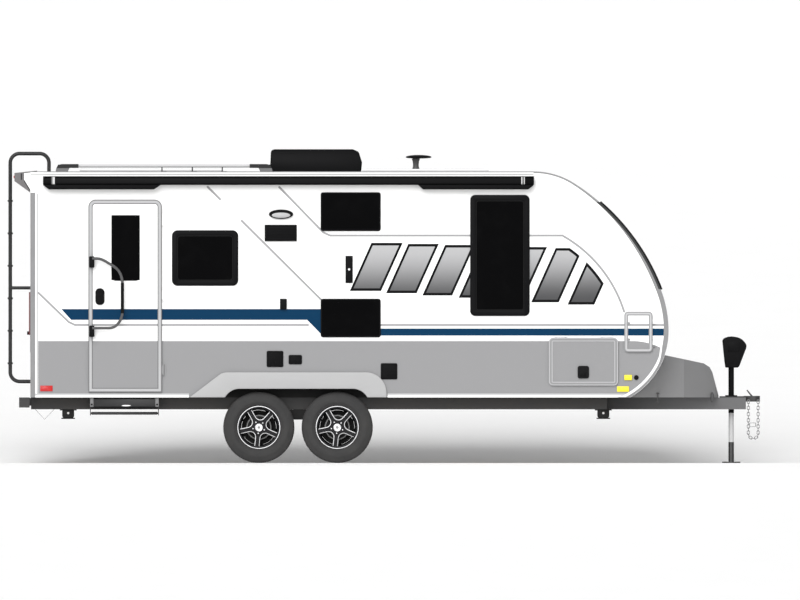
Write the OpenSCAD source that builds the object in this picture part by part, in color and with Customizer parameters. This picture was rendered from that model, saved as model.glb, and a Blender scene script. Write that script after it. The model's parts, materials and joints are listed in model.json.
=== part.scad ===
// Travel caravan: a twin-axle towed caravan with a rounded front, parked on its wheels and tongue jack.
// +X is forward, +Y is the road side, +Z is up. The origin is on the ground, at mid length, on the centreline.
// All sizes are in millimetres. The two sides share one table of sizes, and side = -1 is the kerb side.

/* [Body shell] */
// Width over the side walls
body_w = 2430; // [2200:10:2500]
// Outer face of the rear wall
rear_x = -3409; // [-3600:1:-3200]
// Underside of the body, on top of the chassis
base_z = 633; // [600:1:680]
// Foremost point of the curved front
nose_x = 2738; // [2650:1:2850]
// Height of that foremost point
nose_z = 1275.6; // [1225.6:1:1325.6]
// Height of the flat roof
roof_z = 2808; // [2780:1:2840]
// Radius of the curve below the nose
chin_r = 730; // [700:5:760]
// Radius of the curve just above the nose
face_r = 1100; // [1000:25:1200]
// Radius of the long sloping front
brow_r = 2100; // [2050:25:2150]
// Radius of the curve from the slope into the flat roof
crown_r = 725; // [700:25:775]
// Thickness of the roof, front and rear panels
shell_t = 45; // [35:1:60]
// Thickness of the side walls
wall_t = 38; // [30:1:50]
// Thickness of the floor
floor_t = 60; // [45:1:80]

/* [Trim] */
// Width of the edge moulding on the side wall
trim_w = 40; // [25:1:50]
// How far the edge moulding stands proud
trim_t = 6; // [4:1:10]
// Width of the edge moulding on the roof and front
trim_over = 42; // [30:1:60]
// Height of the white strip along the foot of the wall
skirt_h = 37; // [25:1:45]
// How far that strip stands proud
skirt_t = 5; // [3:1:6]

/* [Doors] */
// How far a door's flange laps over the wall
lap = 28; // [20:1:34]
// Running gap round a door and behind its flange
door_gap = 6; // [5:0.5:8]
// Thickness of a door's outer skin
skin_t = 9; // [6:1:12]
// Extra thickness of the raised band round a door
band_t = 4; // [2:1:6]
// Width of that band
band_w = 36; // [28:1:42]
// Radius of a hinge pin
pin_r = 5; // [4:0.5:6]
// Running clearance between a pin and its knuckle
pin_clear = 0.05; // [0.02:0.01:0.1]
// Wall of a hinge knuckle
knuckle_t = 4; // [3:0.5:5]
// Distance from a door's edge to its hinge pin
hinge_out = 13; // [11:0.5:16]

/* [Running gear] */
// Overall diameter of a tyre
tyre_d = 688; // [660:1:720]
// Width of a tyre
tyre_w = 205; // [185:1:225]
// Diameter of the rim's tyre seat
seat_d = 381; // [355:1:406]
// Width between the rim's flanges
rim_w = 152; // [127:1:165]
// Height of the rim's flanges above the tyre seat
flange_h = 17; // [14:1:20]
// Midpoint between the two axles
axle_mid_x = -832; // [-1000:1:-700]
// Distance between the two axles
axle_gap = 756; // [720:1:800]
// Distance from the centreline to the middle of a tyre
half_track = 1092; // [1070:1:1098]
// Radius of an axle tube
axle_r = 30; // [25:1:38]
// Radius of a wheel spindle
spindle_r = 20; // [16:1:24]
// Running clearance of a hub on its spindle
spindle_clear = 0.05; // [0.02:0.01:0.1]
// Radius of a brake drum
drum_r = 128; // [115:1:140]

/* [Chassis] */
// Depth of the chassis beams
beam_h = 115; // [100:1:130]
// Width of the chassis beams
beam_w = 52; // [44:1:60]
// Distance from the centreline to the outer face of a main beam
rail_y = 905; // [860:1:920]
// Where the tongue beams leave the main beams
tongue_x = 1880; // [1700:1:2000]
// Front end of the tongue beams
tongue_tip_x = 3490; // [3400:1:3550]
// Centreline of the tongue jack
jack_x = 3348; // [3320:1:3380]
// Radius of the jack's outer tube
jack_r = 27; // [24:1:30]
// Radius of the hitch ball socket
socket_r = 30; // [26:0.5:32]
// Depth of the hitch ball socket
socket_h = 40; // [30:1:50]
// Middle of the hitch ball socket
socket_x = 3578; // [3560:1:3590]

/* [Outside fittings] */
// Distance that the awning case stands out from the wall
awning_out = 102; // [90:1:120]
// Radius of the ladder's stiles
stile_r = 18; // [14:1:22]
// Radius of the ladder's rungs
rung_r = 12; // [9:1:14]
// Radius of the grab handle's tube
grab_r = 14; // [11:1:16]
// Distance that the grab handle stands off its door
grab_out = 60; // [50:1:70]
// Depth of the roof cooler above the roof
cooler_h = 220; // [190:1:240]

/* [Hidden] */
$fn = 96;

eps = 0.01;
far = 9000;
half_w = body_w / 2;
inner_y = half_w - wall_t;
beam_z = base_z - beam_h;
wheel_r = tyre_d / 2;
function axle_x(end) = axle_mid_x + end * axle_gap / 2;
function polar(c, r, a) = c + r * [cos(a), sin(a)];

// The curved front is four arcs, each tangent to the next. The slope meets the crown in the direction of a
// right triangle, 336-527-625, and the face in the direction that brings the crown up to the roof
slope_high = [336, 527] / 625;
slope_rise = (nose_z + crown_r - roof_z + (brow_r - crown_r) * slope_high.y) / (brow_r - face_r);
slope_low = [sqrt(1 - slope_rise * slope_rise), slope_rise];
chin_c = [nose_x - chin_r, nose_z];
face_c = [nose_x - face_r, nose_z];
brow_c = face_c + (face_r - brow_r) * slope_low;
crown_c = brow_c + (brow_r - crown_r) * slope_high;

// Windows of the side walls: side, x, z (centre), width, height, corner radius, frame width
WINDOWS = [
    [-1, -1729, 1978, 640, 536, 55, 52],
    [-1, -324, 2425, 580, 375, 24, 14],
    [-1, -324, 1399, 580, 373, 24, 14],
    [-1, 1116, 2003, 574, 1169, 50, 56],
    [1, -2350, 1978, 640, 536, 55, 52],
    [1, -900, 1978, 1000, 536, 55, 52],
    [1, 1116, 2003, 574, 800, 50, 56],
];
win_x = 1;
win_z = 2;
win_w = 3;
win_h = 4;
win_r = 5;
win_frame = 6;
glass_t = 8;
frame_proud = 12;

// Doors: x, z (centre of the flange), width, height, corner radius, whether the lower corners are square
ENTRY = [-2500.5, 1612, 709, 1858, 70, true];
BAGGAGE = [1922.5, 978.5, 667, 461, 40, false];
HATCH = [2453, 1265.5, 272, 389, 36, false];
// Window of the entry door: x, z, width, height
DOOR_WINDOW = [-2495.5, 2075, 271, 632];
door_x = 0;
door_z = 1;
door_w = 2;
door_h = 3;
door_r = 4;
door_square = 5;
flange_y = half_w + door_gap;
hinge_y = half_w + 15;
knuckle_r = pin_r + knuckle_t;

// Shapes used all over

// A slab across the body, from a side-view outline (x, z)
module across(from, to) {
    translate([0, to, 0]) rotate([90, 0, 0]) linear_extrude(to - from) children();
}

// The same slab on one side, with from and to measured outwards from the centreline
module on_side(side, from, to) {
    if (side > 0) across(from, to) children();
    else across(-to, -from) children();
}

// A slab along the body, from a rear-view outline (y, z)
module along(from, to) {
    translate([from, 0, 0]) rotate([90, 0, 90]) linear_extrude(to - from) children();
}

// A slab upwards, from a plan outline (x, y)
module upward(from, to) {
    translate([0, 0, from]) linear_extrude(to - from) children();
}

module box(from, to) {
    translate(from) cube(to - from);
}

// A pie slice of a disc, from angle a0 to a1
module sector(c, r, a0, a1) {
    intersection() {
        translate(c) circle(r, $fn = r > 400 ? 256 : 96);
        polygon([c, polar(c, 2 * r, a0), polar(c, 2 * r, a1)]);
    }
}

// A rectangle with round corners, about its centre
module round_rect(w, h, r) {
    square([w - 2 * r, h], center = true);
    square([w, h - 2 * r], center = true);
    for (sx = [-1, 1], sz = [-1, 1])
        translate([sx * (w / 2 - r), sz * (h / 2 - r)])
            intersection() {
                circle(r);
                translate([sx > 0 ? 0 : -2 * r, sz > 0 ? 0 : -2 * r]) square(2 * r);
            }
}

// A rod between two points of one side view, at distance y
module rod_y(x, z, from, to, r) {
    translate([x, from, z]) rotate([-90, 0, 0]) cylinder(h = to - from, r = r);
}

// A slice of a disc between two directions
module slice(c, r, d0, d1) {
    intersection() {
        translate(c) circle(r, $fn = 256);
        polygon([c, c + 5000 * d0, c + 5000 * d1]);
    }
}

// Side outline of the body, drawn inset from its outer skin
module outline(inset = 0) {
    low = nose_z - chin_r - 100;
    intersection() {
        union() {
            polygon([
                [rear_x + inset, low], [chin_c.x, low], chin_c, face_c, brow_c, crown_c,
                [crown_c.x, roof_z - inset], [rear_x + inset, roof_z - inset],
            ]);
            slice(chin_c, chin_r - inset, [0, -1], [1, 0]);
            slice(face_c, face_r - inset, [1, 0], slope_low);
            slice(brow_c, brow_r - inset, slope_low, slope_high);
            slice(crown_c, crown_r - inset, slope_high, [0, 1]);
        }
        translate([-far / 2, base_z]) square([far, far]);
    }
}

// Chassis

// Main beams: folded channels with their open side inwards
channel_t = 8;
rail_end_x = 2150;
module frame_rails() {
    color("dimgray")
        for (side = [-1, 1])
            difference() {
                on_side(side, rail_y - beam_w, rail_y)
                    translate([rear_x, beam_z]) square([rail_end_x - rear_x, beam_h]);
                on_side(side, rail_y - beam_w - 1, rail_y - channel_t)
                    translate([rear_x - 1, beam_z + channel_t])
                        square([rail_end_x - rear_x + 2, beam_h - 2 * channel_t]);
            }
}

// Cross members between the beams, set below the floor
cross_w = 50;
cross_h = 70;
CROSS_X = [rear_x + 30, -2600, -1750, axle_mid_x, 60, 900, tongue_x - cross_w / 2];
module cross_members() {
    color("dimgray")
        for (x = CROSS_X)
            box([x - cross_w / 2, -rail_y + channel_t, base_z - channel_t - cross_h],
                [x + cross_w / 2, rail_y - channel_t, base_z - channel_t]);
}

// Tongue beams: they leave the inside of the main beams and meet under the coupler
tongue_tip_y = 44;
tongue_root_y = rail_y - beam_w - 6;
module tongue_beams() {
    color("dimgray")
        for (side = [-1, 1])
            upward(beam_z, base_z)
                polygon([
                    [tongue_x, side * (tongue_root_y - beam_w)], [tongue_x, side * tongue_root_y],
                    [tongue_tip_x, side * (tongue_tip_y + beam_w)], [tongue_tip_x, side * tongue_tip_y],
                ]);
}

// Rear bumper: a capped square tube on two brackets
bumper_x = rear_x - 115;
bumper_s = 102;
bumper_y = half_w - 35;
module rear_bumper() {
    color("dimgray") {
        box([bumper_x, -bumper_y, base_z - 98], [bumper_x + bumper_s, bumper_y, base_z]);
        for (side = [-1, 1])
            translate([bumper_x + bumper_s - 10, side * (rail_y - beam_w / 2), base_z - 80])
                translate([0, -20, 0]) cube([rear_x - bumper_x - bumper_s + 10, 40, 76]);
    }
}

// Body shell

// Floor, with a cut for each pair of wheels
well_x0 = -1620;
well_x1 = -60;
well_y = 925;
well_top = 765;
well_t = 5;
module floor() {
    color("burlywood")
        difference() {
            across(-inner_y, inner_y)
                intersection() {
                    outline(shell_t);
                    translate([-far / 2, base_z]) square([far, floor_t]);
                }
            for (side = [-1, 1])
                on_side(side, well_y, inner_y + 1)
                    translate([well_x0, base_z - 1]) square([well_x1 - well_x0, floor_t + 2]);
        }
}

// Tubs over the wheels
module wheel_wells() {
    color("dimgray")
        for (side = [-1, 1])
            difference() {
                on_side(side, well_y, inner_y)
                    translate([well_x0, base_z]) square([well_x1 - well_x0, well_top - base_z]);
                on_side(side, well_y + well_t, inner_y + 1)
                    translate([well_x0 + well_t, base_z - 1])
                        square([well_x1 - well_x0 - 2 * well_t, well_top - base_z - well_t + 1]);
            }
}

module window_hole(w) {
    cut = w[win_frame] + 4;
    translate([w[win_x], w[win_z]])
        round_rect(w[win_w] - 2 * cut, w[win_h] - 2 * cut, max(10, w[win_r] - cut / 2));
}

module door_outline(d, grow) {
    w = d[door_w] + 2 * grow;
    h = d[door_h] + 2 * grow;
    translate([d[door_x], d[door_z]]) {
        round_rect(w, h, max(8, d[door_r] + grow));
        if (d[door_square]) translate([-w / 2, -h / 2]) square([w, h / 2]);
    }
}

// Side wall of one side, with its windows, doors and wheel arch cut through
module wall(side, doors) {
    color("white")
        on_side(side, inner_y, half_w)
            difference() {
                outline();
                for (w = WINDOWS)
                    if (w[0] == side) window_hole(w);
                for (d = doors) door_outline(d, -lap);
                translate([well_x0, base_z - 1]) square([well_x1 - well_x0, well_top - 20 - base_z + 1]);
            }
}

module wall_right() {
    wall(-1, [ENTRY, BAGGAGE, HATCH]);
}

module wall_left() {
    wall(1, [BAGGAGE]);
}

module roof() {
    color("white")
        box([rear_x, -inner_y, roof_z - shell_t], [crown_c.x, inner_y, roof_z]);
}

module rear_wall() {
    color("white")
        box([rear_x, -inner_y, base_z], [rear_x + shell_t, inner_y, roof_z - shell_t]);
}

// A bent slab that follows the long slope of the front, between two radii and two angles
module brow_slab(r0, r1, a0, a1, y) {
    across(-y, y)
        difference() {
            sector(brow_c, r1, a0, a1);
            translate(brow_c) circle(r0, $fn = 256);
        }
}

// Curved front panel, with the front window cut through
front_win_low = 7;
front_win_top = 307;
front_win_a0 = asin(slope_low.y) + front_win_low / brow_r * 180 / PI;
front_win_a1 = asin(slope_high.y) - front_win_top / brow_r * 180 / PI;
front_win_y = 780;
front_frame = 50;
front_frame_a = front_frame / brow_r * 180 / PI;
module front_cap() {
    color("white")
        difference() {
            across(-inner_y, inner_y)
                difference() {
                    outline();
                    outline(shell_t);
                    translate([-far, 0]) square([far + crown_c.x, far]);
                }
            brow_slab(brow_r - shell_t - 20, brow_r + 20, front_win_a0 + front_frame_a + 0.12,
                front_win_a1 - front_frame_a - 0.12, front_win_y - front_frame - 4);
        }
}

// Mouldings over the edges of both side walls
module edge_trims() {
    color("silver")
        for (side = [-1, 1]) {
            on_side(side, half_w, half_w + trim_t)
                difference() {
                    outline(-trim_t);
                    outline(trim_w);
                }
            on_side(side, half_w - trim_over, half_w)
                difference() {
                    outline(-trim_t);
                    outline();
                }
        }
}

// Strips along the foot of both side walls, broken at the wheel arches
SKIRT_X = [[rear_x, -1885], [32, nose_x]];
skirt_gap = 2;
module skirt_trims() {
    color("white")
        for (side = [-1, 1], s = SKIRT_X)
            on_side(side, half_w, half_w + skirt_t)
                intersection() {
                    outline(trim_w + skirt_gap);
                    translate([s[0], base_z]) square([s[1] - s[0], skirt_h]);
                }
}

// Shaped panels round the wheel arches
fender_t = 28;
arch_z = 716;
arch_x0 = -1396;
arch_x1 = -304;
arch_r = 160;
fender_r = 200;
fender_c = [-177, 676];
module fender_skirts() {
    color("lightgray")
        for (side = [-1, 1])
            on_side(side, half_w, half_w + fender_t)
                difference() {
                    union() {
                        polygon([
                            [-1879, base_z], [fender_c.x, base_z], [fender_c.x, 876],
                            [-1527, 876], [-1575, 864],
                        ]);
                        sector(fender_c, fender_r, 0, 90);
                        translate([fender_c.x, base_z]) square([fender_r, fender_c.y - base_z]);
                    }
                    translate([arch_x0, 0]) square([arch_x1 - arch_x0, arch_z]);
                    sector([arch_x0, arch_z - arch_r], arch_r, 90, 180);
                    sector([arch_x1, arch_z - arch_r], arch_r, 0, 90);
                    translate([arch_x0 - arch_r, 0]) square([arch_r, arch_z - arch_r + eps]);
                    translate([arch_x1, 0]) square([arch_r, arch_z - arch_r + eps]);
                }
}

// Rear spoiler over the top of the rear wall
spoiler_x = rear_x - 160;
module rear_spoiler() {
    color("white")
        across(-half_w, half_w)
            polygon([
                [spoiler_x, roof_z - 88], [spoiler_x, roof_z - 9], [rear_x + 59, roof_z + 14],
                [rear_x + 59, roof_z + trim_t], [rear_x - trim_t, roof_z + trim_t], [rear_x - trim_t, roof_z - 199],
            ]);
}

// Bed deck and the bulkhead that close off the luggage space across the front
bulkhead_x = 1500;
deck_z = 1250;
deck_t = 18;
module storage_bulkhead() {
    color("burlywood")
        across(-inner_y, inner_y)
            intersection() {
                outline(shell_t);
                union() {
                    translate([bulkhead_x, base_z + floor_t]) square([deck_t, deck_z - base_z - floor_t]);
                    translate([bulkhead_x, deck_z]) square([far, deck_t]);
                }
            }
}

// Windows

module window_frames() {
    color("black") {
        for (w = WINDOWS)
            on_side(w[0], half_w, half_w + frame_proud)
                translate([w[win_x], w[win_z]])
                    difference() {
                        round_rect(w[win_w], w[win_h], w[win_r]);
                        round_rect(w[win_w] - 2 * w[win_frame], w[win_h] - 2 * w[win_frame],
                            max(12, w[win_r] - w[win_frame] / 2));
                    }
        difference() {
            brow_slab(brow_r, brow_r + 22, front_win_a0, front_win_a1, front_win_y);
            brow_slab(brow_r - 20, brow_r + 50, front_win_a0 + front_frame_a,
                front_win_a1 - front_frame_a, front_win_y - front_frame);
        }
    }
}

module window_glass() {
    color("black") {
        for (w = WINDOWS)
            on_side(w[0], half_w, half_w + glass_t)
                translate([w[win_x], w[win_z]])
                    round_rect(w[win_w] - 2 * w[win_frame], w[win_h] - 2 * w[win_frame],
                        max(12, w[win_r] - w[win_frame] / 2));
        brow_slab(brow_r, brow_r + 12, front_win_a0 + front_frame_a + 0.01, front_win_a1 - front_frame_a - 0.01,
            front_win_y - front_frame - 0.3);
    }
}

// Awning on the kerb side: a long case with a folded arm under each end
awning_x0 = -3293;
awning_x1 = 1445;
awning_z0 = roof_z - 125;
awning_z1 = roof_z - 42;
module awning_case() {
    color("black")
        along(awning_x0, awning_x1)
            translate([-half_w - awning_out, awning_z0])
                polygon([
                    [0, 14], [14, 0], [awning_out, 0], [awning_out, awning_z1 - awning_z0],
                    [22, awning_z1 - awning_z0], [0, awning_z1 - awning_z0 - 22],
                ]);
}

ARM_X = [[-3237, -3293, -2222, -2157], [374, 326, 1389, 1445]];
arm_h = 43;
module awning_arms() {
    color("black")
        for (a = ARM_X)
            across(-half_w - awning_out + 12, -half_w)
                polygon([
                    [a[0], awning_z0 - arm_h], [a[1], awning_z0], [a[3], awning_z0],
                    [a[2], awning_z0 - arm_h],
                ]);
}

// Roof

cooler_x0 = -1101;
cooler_x1 = -214;
module roof_cooler() {
    color("black")
        intersection() {
            across(-350, 350)
                polygon([
                    [cooler_x0 + 18, roof_z], [cooler_x0, roof_z + 60], [cooler_x0 + 7, roof_z + cooler_h - 16],
                    [cooler_x0 + 32, roof_z + cooler_h], [cooler_x1 - 90, roof_z + cooler_h],
                    [cooler_x1 - 32, roof_z + cooler_h - 24], [cooler_x1, roof_z + 92], [cooler_x1 - 8, roof_z],
                ]);
            along(cooler_x0 - 10, cooler_x1 + 10)
                polygon([
                    [-350, roof_z - 1], [-350, roof_z + 120], [-300, roof_z + cooler_h + 1],
                    [300, roof_z + cooler_h + 1], [350, roof_z + 120], [350, roof_z - 1],
                ]);
        }
}

// Rails on both sides of the roof, each a bar between two feet
rail_x0 = -3150;
rail_x1 = -1100;
roof_rail_y = half_w - 155;
roof_rail_z = roof_z + 58;
roof_rail_r = 14;
rail_cap = 19;
// One foot in side view, from its outer end: distance along the rail, height
RAIL_FOOT = [
    [0, roof_z], [6, roof_z + 30], [18, roof_rail_z], [38, roof_rail_z + 14], [62, roof_rail_z + rail_cap],
    [222, roof_rail_z + rail_cap], [222, roof_rail_z - rail_cap], [136, roof_rail_z - rail_cap], [118, roof_z],
];
module roof_rails() {
    color("black")
        for (side = [-1, 1]) {
            translate([rail_x0, side * roof_rail_y, roof_rail_z])
                rotate([0, 90, 0]) cylinder(h = rail_x1 - rail_x0, r = roof_rail_r);
            for (f = [[rail_x0 - 23, 1], [rail_x1 + 23, -1]])
                across(side * roof_rail_y - 25, side * roof_rail_y + 25)
                    polygon([
                        for (p = RAIL_FOOT) [f[0] + f[1] * p.x, p.y],
                    ]);
        }
}

// Flat solar panels: x0, x1, y0, y1
PANELS = [[-2940, -1556, -920, -250], [-2940, -1556, 250, 920], [-215, 1011, -920, -250]];
panel_t = 30;
module solar_panels() {
    color("midnightblue")
        for (p = PANELS) box([p[0], p[2], roof_z], [p[1], p[3], roof_z + panel_t]);
}

// Domed receiver on a stem
antenna_x = 331;
module antenna() {
    color("black")
        translate([antenna_x, 0, roof_z])
            rotate_extrude()
                polygon([
                    [0, 0], [46, 0], [41, 12], [29, 36], [25, 60], [29, 84], [42, 106], [70, 120], [114, 130],
                    [126, 139], [119, 150], [62, 163], [0, 166],
                ]);
}

// Rear ladder: bent stiles hooked over the roof, and rungs between them
stile_x = rear_x - 200;
stile_y = [420, 780];
hook_h = 178;
stile_top = roof_z + hook_h;
stile_low = 787;
stile_bend = 90;
hook_x = -3235;
stand_z = 1690;
rung_n = 6;
collar_r = stile_r + 8;
collar_h = 22;
rung_low = stile_low + 176;
rung_top = stile_top - 457;
RUNG_Z = [for (i = [0 : rung_n - 1]) rung_low + i * (rung_top - rung_low) / (rung_n - 1)];

// A quarter bend of tube in side view, about centre (x, z), starting at angle a
module bend(x, y, z, a) {
    translate([x, y, z]) rotate([90, 0, 0]) rotate([0, 0, a])
        rotate_extrude(angle = 90) translate([stile_bend, 0]) circle(stile_r, $fn = 32);
}

module bar_x(x0, x1, y, z, r) {
    translate([x0, y, z]) rotate([0, 90, 0]) cylinder(h = x1 - x0, r = r, $fn = 32);
}

module bar_z(x, y, z0, z1, r) {
    translate([x, y, z0]) cylinder(h = z1 - z0, r = r, $fn = 32);
}

module ladder_stiles() {
    color("dimgray")
        for (y = stile_y) {
            bar_z(stile_x, y, stile_low + stile_bend, stile_top - stile_bend, stile_r);
            bend(stile_x + stile_bend, y, stile_low + stile_bend, 180);
            bar_x(stile_x + stile_bend, rear_x, y, stile_low, stile_r);
            bend(stile_x + stile_bend, y, stile_top - stile_bend, 90);
            bar_x(stile_x + stile_bend, hook_x - stile_bend, y, stile_top, stile_r);
            bend(hook_x - stile_bend, y, stile_top - stile_bend, 0);
            bar_z(hook_x, y, roof_z, stile_top - stile_bend, stile_r);
            bar_x(stile_x, rear_x, y, stand_z, stile_r - 2);
            for (z = RUNG_Z)
                translate([stile_x, y, z])
                    rotate_extrude($fn = 32)
                        polygon([
                            [stile_r - 2, -collar_h / 2], [stile_r, -collar_h / 2], [collar_r, -collar_h / 2 + 4],
                            [collar_r, collar_h / 2 - 4], [stile_r, collar_h / 2], [stile_r - 2, collar_h / 2],
                        ]);
        }
}

module ladder_rungs() {
    color("dimgray")
        for (z = RUNG_Z)
            rod_y(stile_x, z, stile_y[0] + collar_r + 0.3, stile_y[1] - collar_r - 0.3, rung_r);
}

// Lamps and reflectors

module plate_on_side(side, x0, x1, z0, z1, t) {
    on_side(side, half_w, half_w + t) translate([x0, z0]) square([x1 - x0, z1 - z0]);
}

module red_lamps() {
    color("red") {
        for (side = [-1, 1]) {
            along(rear_x - 20, rear_x)
                translate([side * (half_w - 125), base_z + 809]) round_rect(130, 415, 30);
            plate_on_side(side, rear_x + 89, rear_x + 209, base_z + 59, base_z + 114, 5);
        }
        for (y = [95 - half_w, -150, 0, 150, half_w - 95])
            along(spoiler_x - 8, spoiler_x) translate([y, roof_z - 48]) square([90, 26], center = true);
    }
}

// Front lamps, set from the lower corner of the reflector, which lies just inside the moulding on the chin
lamp_gap = 3;
lamp_a = 59;
lamp_r = chin_r - trim_w - lamp_gap;
lamp_z = max(base_z + 54, nose_z - lamp_r * sin(lamp_a));
lamp_x = chin_c.x + sqrt(lamp_r * lamp_r - pow(nose_z - lamp_z, 2));
module amber_lamps() {
    color("orange")
        for (side = [-1, 1]) {
            plate_on_side(side, lamp_x - 46, lamp_x + 28, lamp_z + 112, lamp_z + 164, 14);
            plate_on_side(side, lamp_x - 116, lamp_x, lamp_z, lamp_z + 53, 5);
        }
}

porch_w = 236;
porch_h = 92;
module porch_light() {
    color("silver")
        on_side(-1, half_w, half_w + 30)
            translate([-996, 2401])
                polygon([
                    for (a = [0 : 7.5 : 352.5]) [porch_w / 2 * cos(a), porch_h / 2 * sin(a)],
                ]);
}

// Small covers let into the walls: side, x0, x1, z0, z1
COVERS = [
    [-1, -1135, -974, 926, 1082], [-1, -923, -794, 952, 1043], [-1, -34, 126, 807, 963],
    [1, -2700, -2250, 800, 1200], [1, 150, 650, 900, 1400], [1, 150, 650, 2050, 2350], [1, -300, 0, 950, 1150],
];
module service_hatches() {
    color("black")
        for (c = COVERS)
            on_side(c[0], half_w, half_w + 10)
                translate([(c[1] + c[2]) / 2, (c[3] + c[4]) / 2]) round_rect(c[2] - c[1], c[4] - c[3], 14);
}

module wall_fittings() {
    color("black") {
        plate_on_side(-1, -1154, -844, 2140, 2299, 18);
        plate_on_side(-1, -1006, -941, 1482, 1585, 24);
        plate_on_side(-1, -374, -304, 1737, 1999, 12);
        rod_y(lamp_x + 70, lamp_z + 138, -half_w - 12, -half_w, 23);
        along(rear_x - 8, rear_x) translate([-500, 1150]) square([330, 170], center = true);
        along(rear_x - 38, rear_x) translate([-500, 1254]) square([60, 34], center = true);
    }
}

// Doors

// Fixed half of a hinge along z: a pin held by two lugs on a wall plate
module hinge_fixed(length) {
    lug = 12;
    wall = hinge_y - half_w;
    end = length / 2 + 1;
    translate([0, 0, -end - lug]) cylinder(h = 2 * (end + lug), r = pin_r);
    for (s = [-1, 1])
        translate([0, 0, s * (end + lug / 2) - lug / 2]) {
            cylinder(h = lug, r = knuckle_r);
            translate([-5, 0, 0]) cube([10, wall, lug]);
        }
    translate([-5, wall - 3, -end - lug]) cube([35, 3, 2 * (end + lug)]);
}

// Moving half: a knuckle with a tab to the door's edge
module hinge_knuckle(length) {
    difference() {
        union() {
            translate([0, 0, -length / 2]) cylinder(h = length, r = knuckle_r);
            translate([-hinge_out - 4, -4, -length / 2]) cube([hinge_out + 4, 10, length]);
        }
        translate([0, 0, -length / 2 - 1]) cylinder(h = length + 2, r = pin_r + pin_clear);
    }
}

// Puts a hinge at a place on the front edge of a door of the kerb side
module at_front_edge(d, z) {
    translate([d[door_x] + d[door_w] / 2 + hinge_out, -hinge_y, z]) children();
}

// Puts a hinge at a place on the top edge of a door of either side
module at_top_edge(side, d, x) {
    mirror([0, side > 0 ? 1 : 0, 0])
        translate([x, -hinge_y, d[door_z] + d[door_h] / 2 + hinge_out]) rotate([0, -90, 0]) children();
}

ENTRY_HINGE_Z = [900, 1620, 2340];
HATCH_HINGE_Z = [1155, 1376];
BAGGAGE_HINGE_X = [1700, 2145];
hinge_l = 80;
module door_hinges() {
    color("silver") {
        for (z = ENTRY_HINGE_Z) at_front_edge(ENTRY, z) hinge_fixed(hinge_l);
        for (z = HATCH_HINGE_Z) at_front_edge(HATCH, z) hinge_fixed(hinge_l / 2);
        for (side = [-1, 1], x = BAGGAGE_HINGE_X) at_top_edge(side, BAGGAGE, x) hinge_fixed(hinge_l);
    }
}

// A door leaf: an outer skin with a raised band, and a plug that fills the opening
module leaf(side, d) {
    on_side(side, flange_y, flange_y + skin_t) door_outline(d, 0);
    on_side(side, flange_y + skin_t, flange_y + skin_t + band_t)
        difference() {
            door_outline(d, 0);
            door_outline(d, -band_w);
        }
    on_side(side, inner_y + 2, flange_y) door_outline(d, -lap - door_gap);
}

module entry_door() {
    color("white") {
        difference() {
            leaf(-1, ENTRY);
            across(-far, 0)
                translate([DOOR_WINDOW[0], DOOR_WINDOW[1]])
                    round_rect(DOOR_WINDOW[2] - 26, DOOR_WINDOW[3] - 26, 26);
        }
        for (z = ENTRY_HINGE_Z) at_front_edge(ENTRY, z) hinge_knuckle(hinge_l);
    }
}

door_face = flange_y + skin_t;
module door_glass() {
    color("black")
        on_side(-1, door_face, door_face + 6)
            translate([DOOR_WINDOW[0], DOOR_WINDOW[1]]) round_rect(DOOR_WINDOW[2], DOOR_WINDOW[3], 38);
}

module door_latch() {
    color("black")
        on_side(-1, door_face, door_face + 16) translate([-2744, 1606]) round_rect(88, 161, 40);
}

// Grab handle: a bent tube between two feet on the door's band: points of the tube as x, z
GRAB = [[-2818, 1973], [-2735, 1973], [-2575, 1878], [-2527, 1788], [-2527, 1402], [-2600, 1302], [-2818, 1302]];
grab_y = door_face + band_t + grab_out;
module grab_handle() {
    color("gray") {
        for (z = [1940, 1272])
            on_side(-1, door_face + band_t, grab_y + 6) translate([-2822, z]) round_rect(54, 112, 12);
        for (i = [0 : len(GRAB) - 2]) {
            step = GRAB[i + 1] - GRAB[i];
            translate([GRAB[i].x, -grab_y, GRAB[i].y])
                rotate([0, atan2(step.x, step.y), 0]) cylinder(h = norm(step), r = grab_r, $fn = 32);
        }
        for (i = [1 : len(GRAB) - 2])
            translate([GRAB[i].x, -grab_y, GRAB[i].y]) sphere(grab_r + 0.6, $fn = 32);
    }
}

// Luggage doors, hinged along the top, with a square latch low in the middle
module baggage_door(side) {
    color("darkgray") {
        leaf(side, BAGGAGE);
        on_side(side, door_face, door_face + 12) translate([1921, 877]) round_rect(110, 121, 22);
        for (x = BAGGAGE_HINGE_X) at_top_edge(side, BAGGAGE, x) hinge_knuckle(hinge_l);
    }
}

module baggage_door_right() {
    baggage_door(-1);
}

module baggage_door_left() {
    baggage_door(1);
}

module hatch_door() {
    color("white") {
        leaf(-1, HATCH);
        for (z = [1191, 1348]) rod_y(2361, z, -door_face - 8, -door_face, 12);
        for (z = HATCH_HINGE_Z) at_front_edge(HATCH, z) hinge_knuckle(hinge_l / 2);
    }
}

// Fold-out entry step: a fixed frame under the floor and a tread that swings out through half a turn
step_x0 = -2839;
step_x1 = -2175;
step_plate = 8;
step_out = half_w - 25;
step_y = step_out - 25;
step_back = step_out - 260;
step_z = 480;
step_pin = 8;
module step_frame() {
    color("black") {
        for (x = [step_x0, step_x1 - step_plate])
            along(x, x + step_plate)
                polygon([
                    [-step_out, base_z], [-step_out, 460], [-step_out + 50, 460], [-step_out + 100, 540],
                    [-step_back, 540], [-step_back, base_z],
                ]);
        box([step_x0 + step_plate, -step_out + 5, 570], [step_x1 - step_plate, -step_back, 590]);
        box([step_x0 + step_plate, -step_out + 2, 545], [step_x1 - step_plate, -step_out + 10, 618]);
        bar_x(step_x0 + step_plate - 2, step_x1 - step_plate + 2, -step_y, step_z, step_pin);
    }
}

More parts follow.
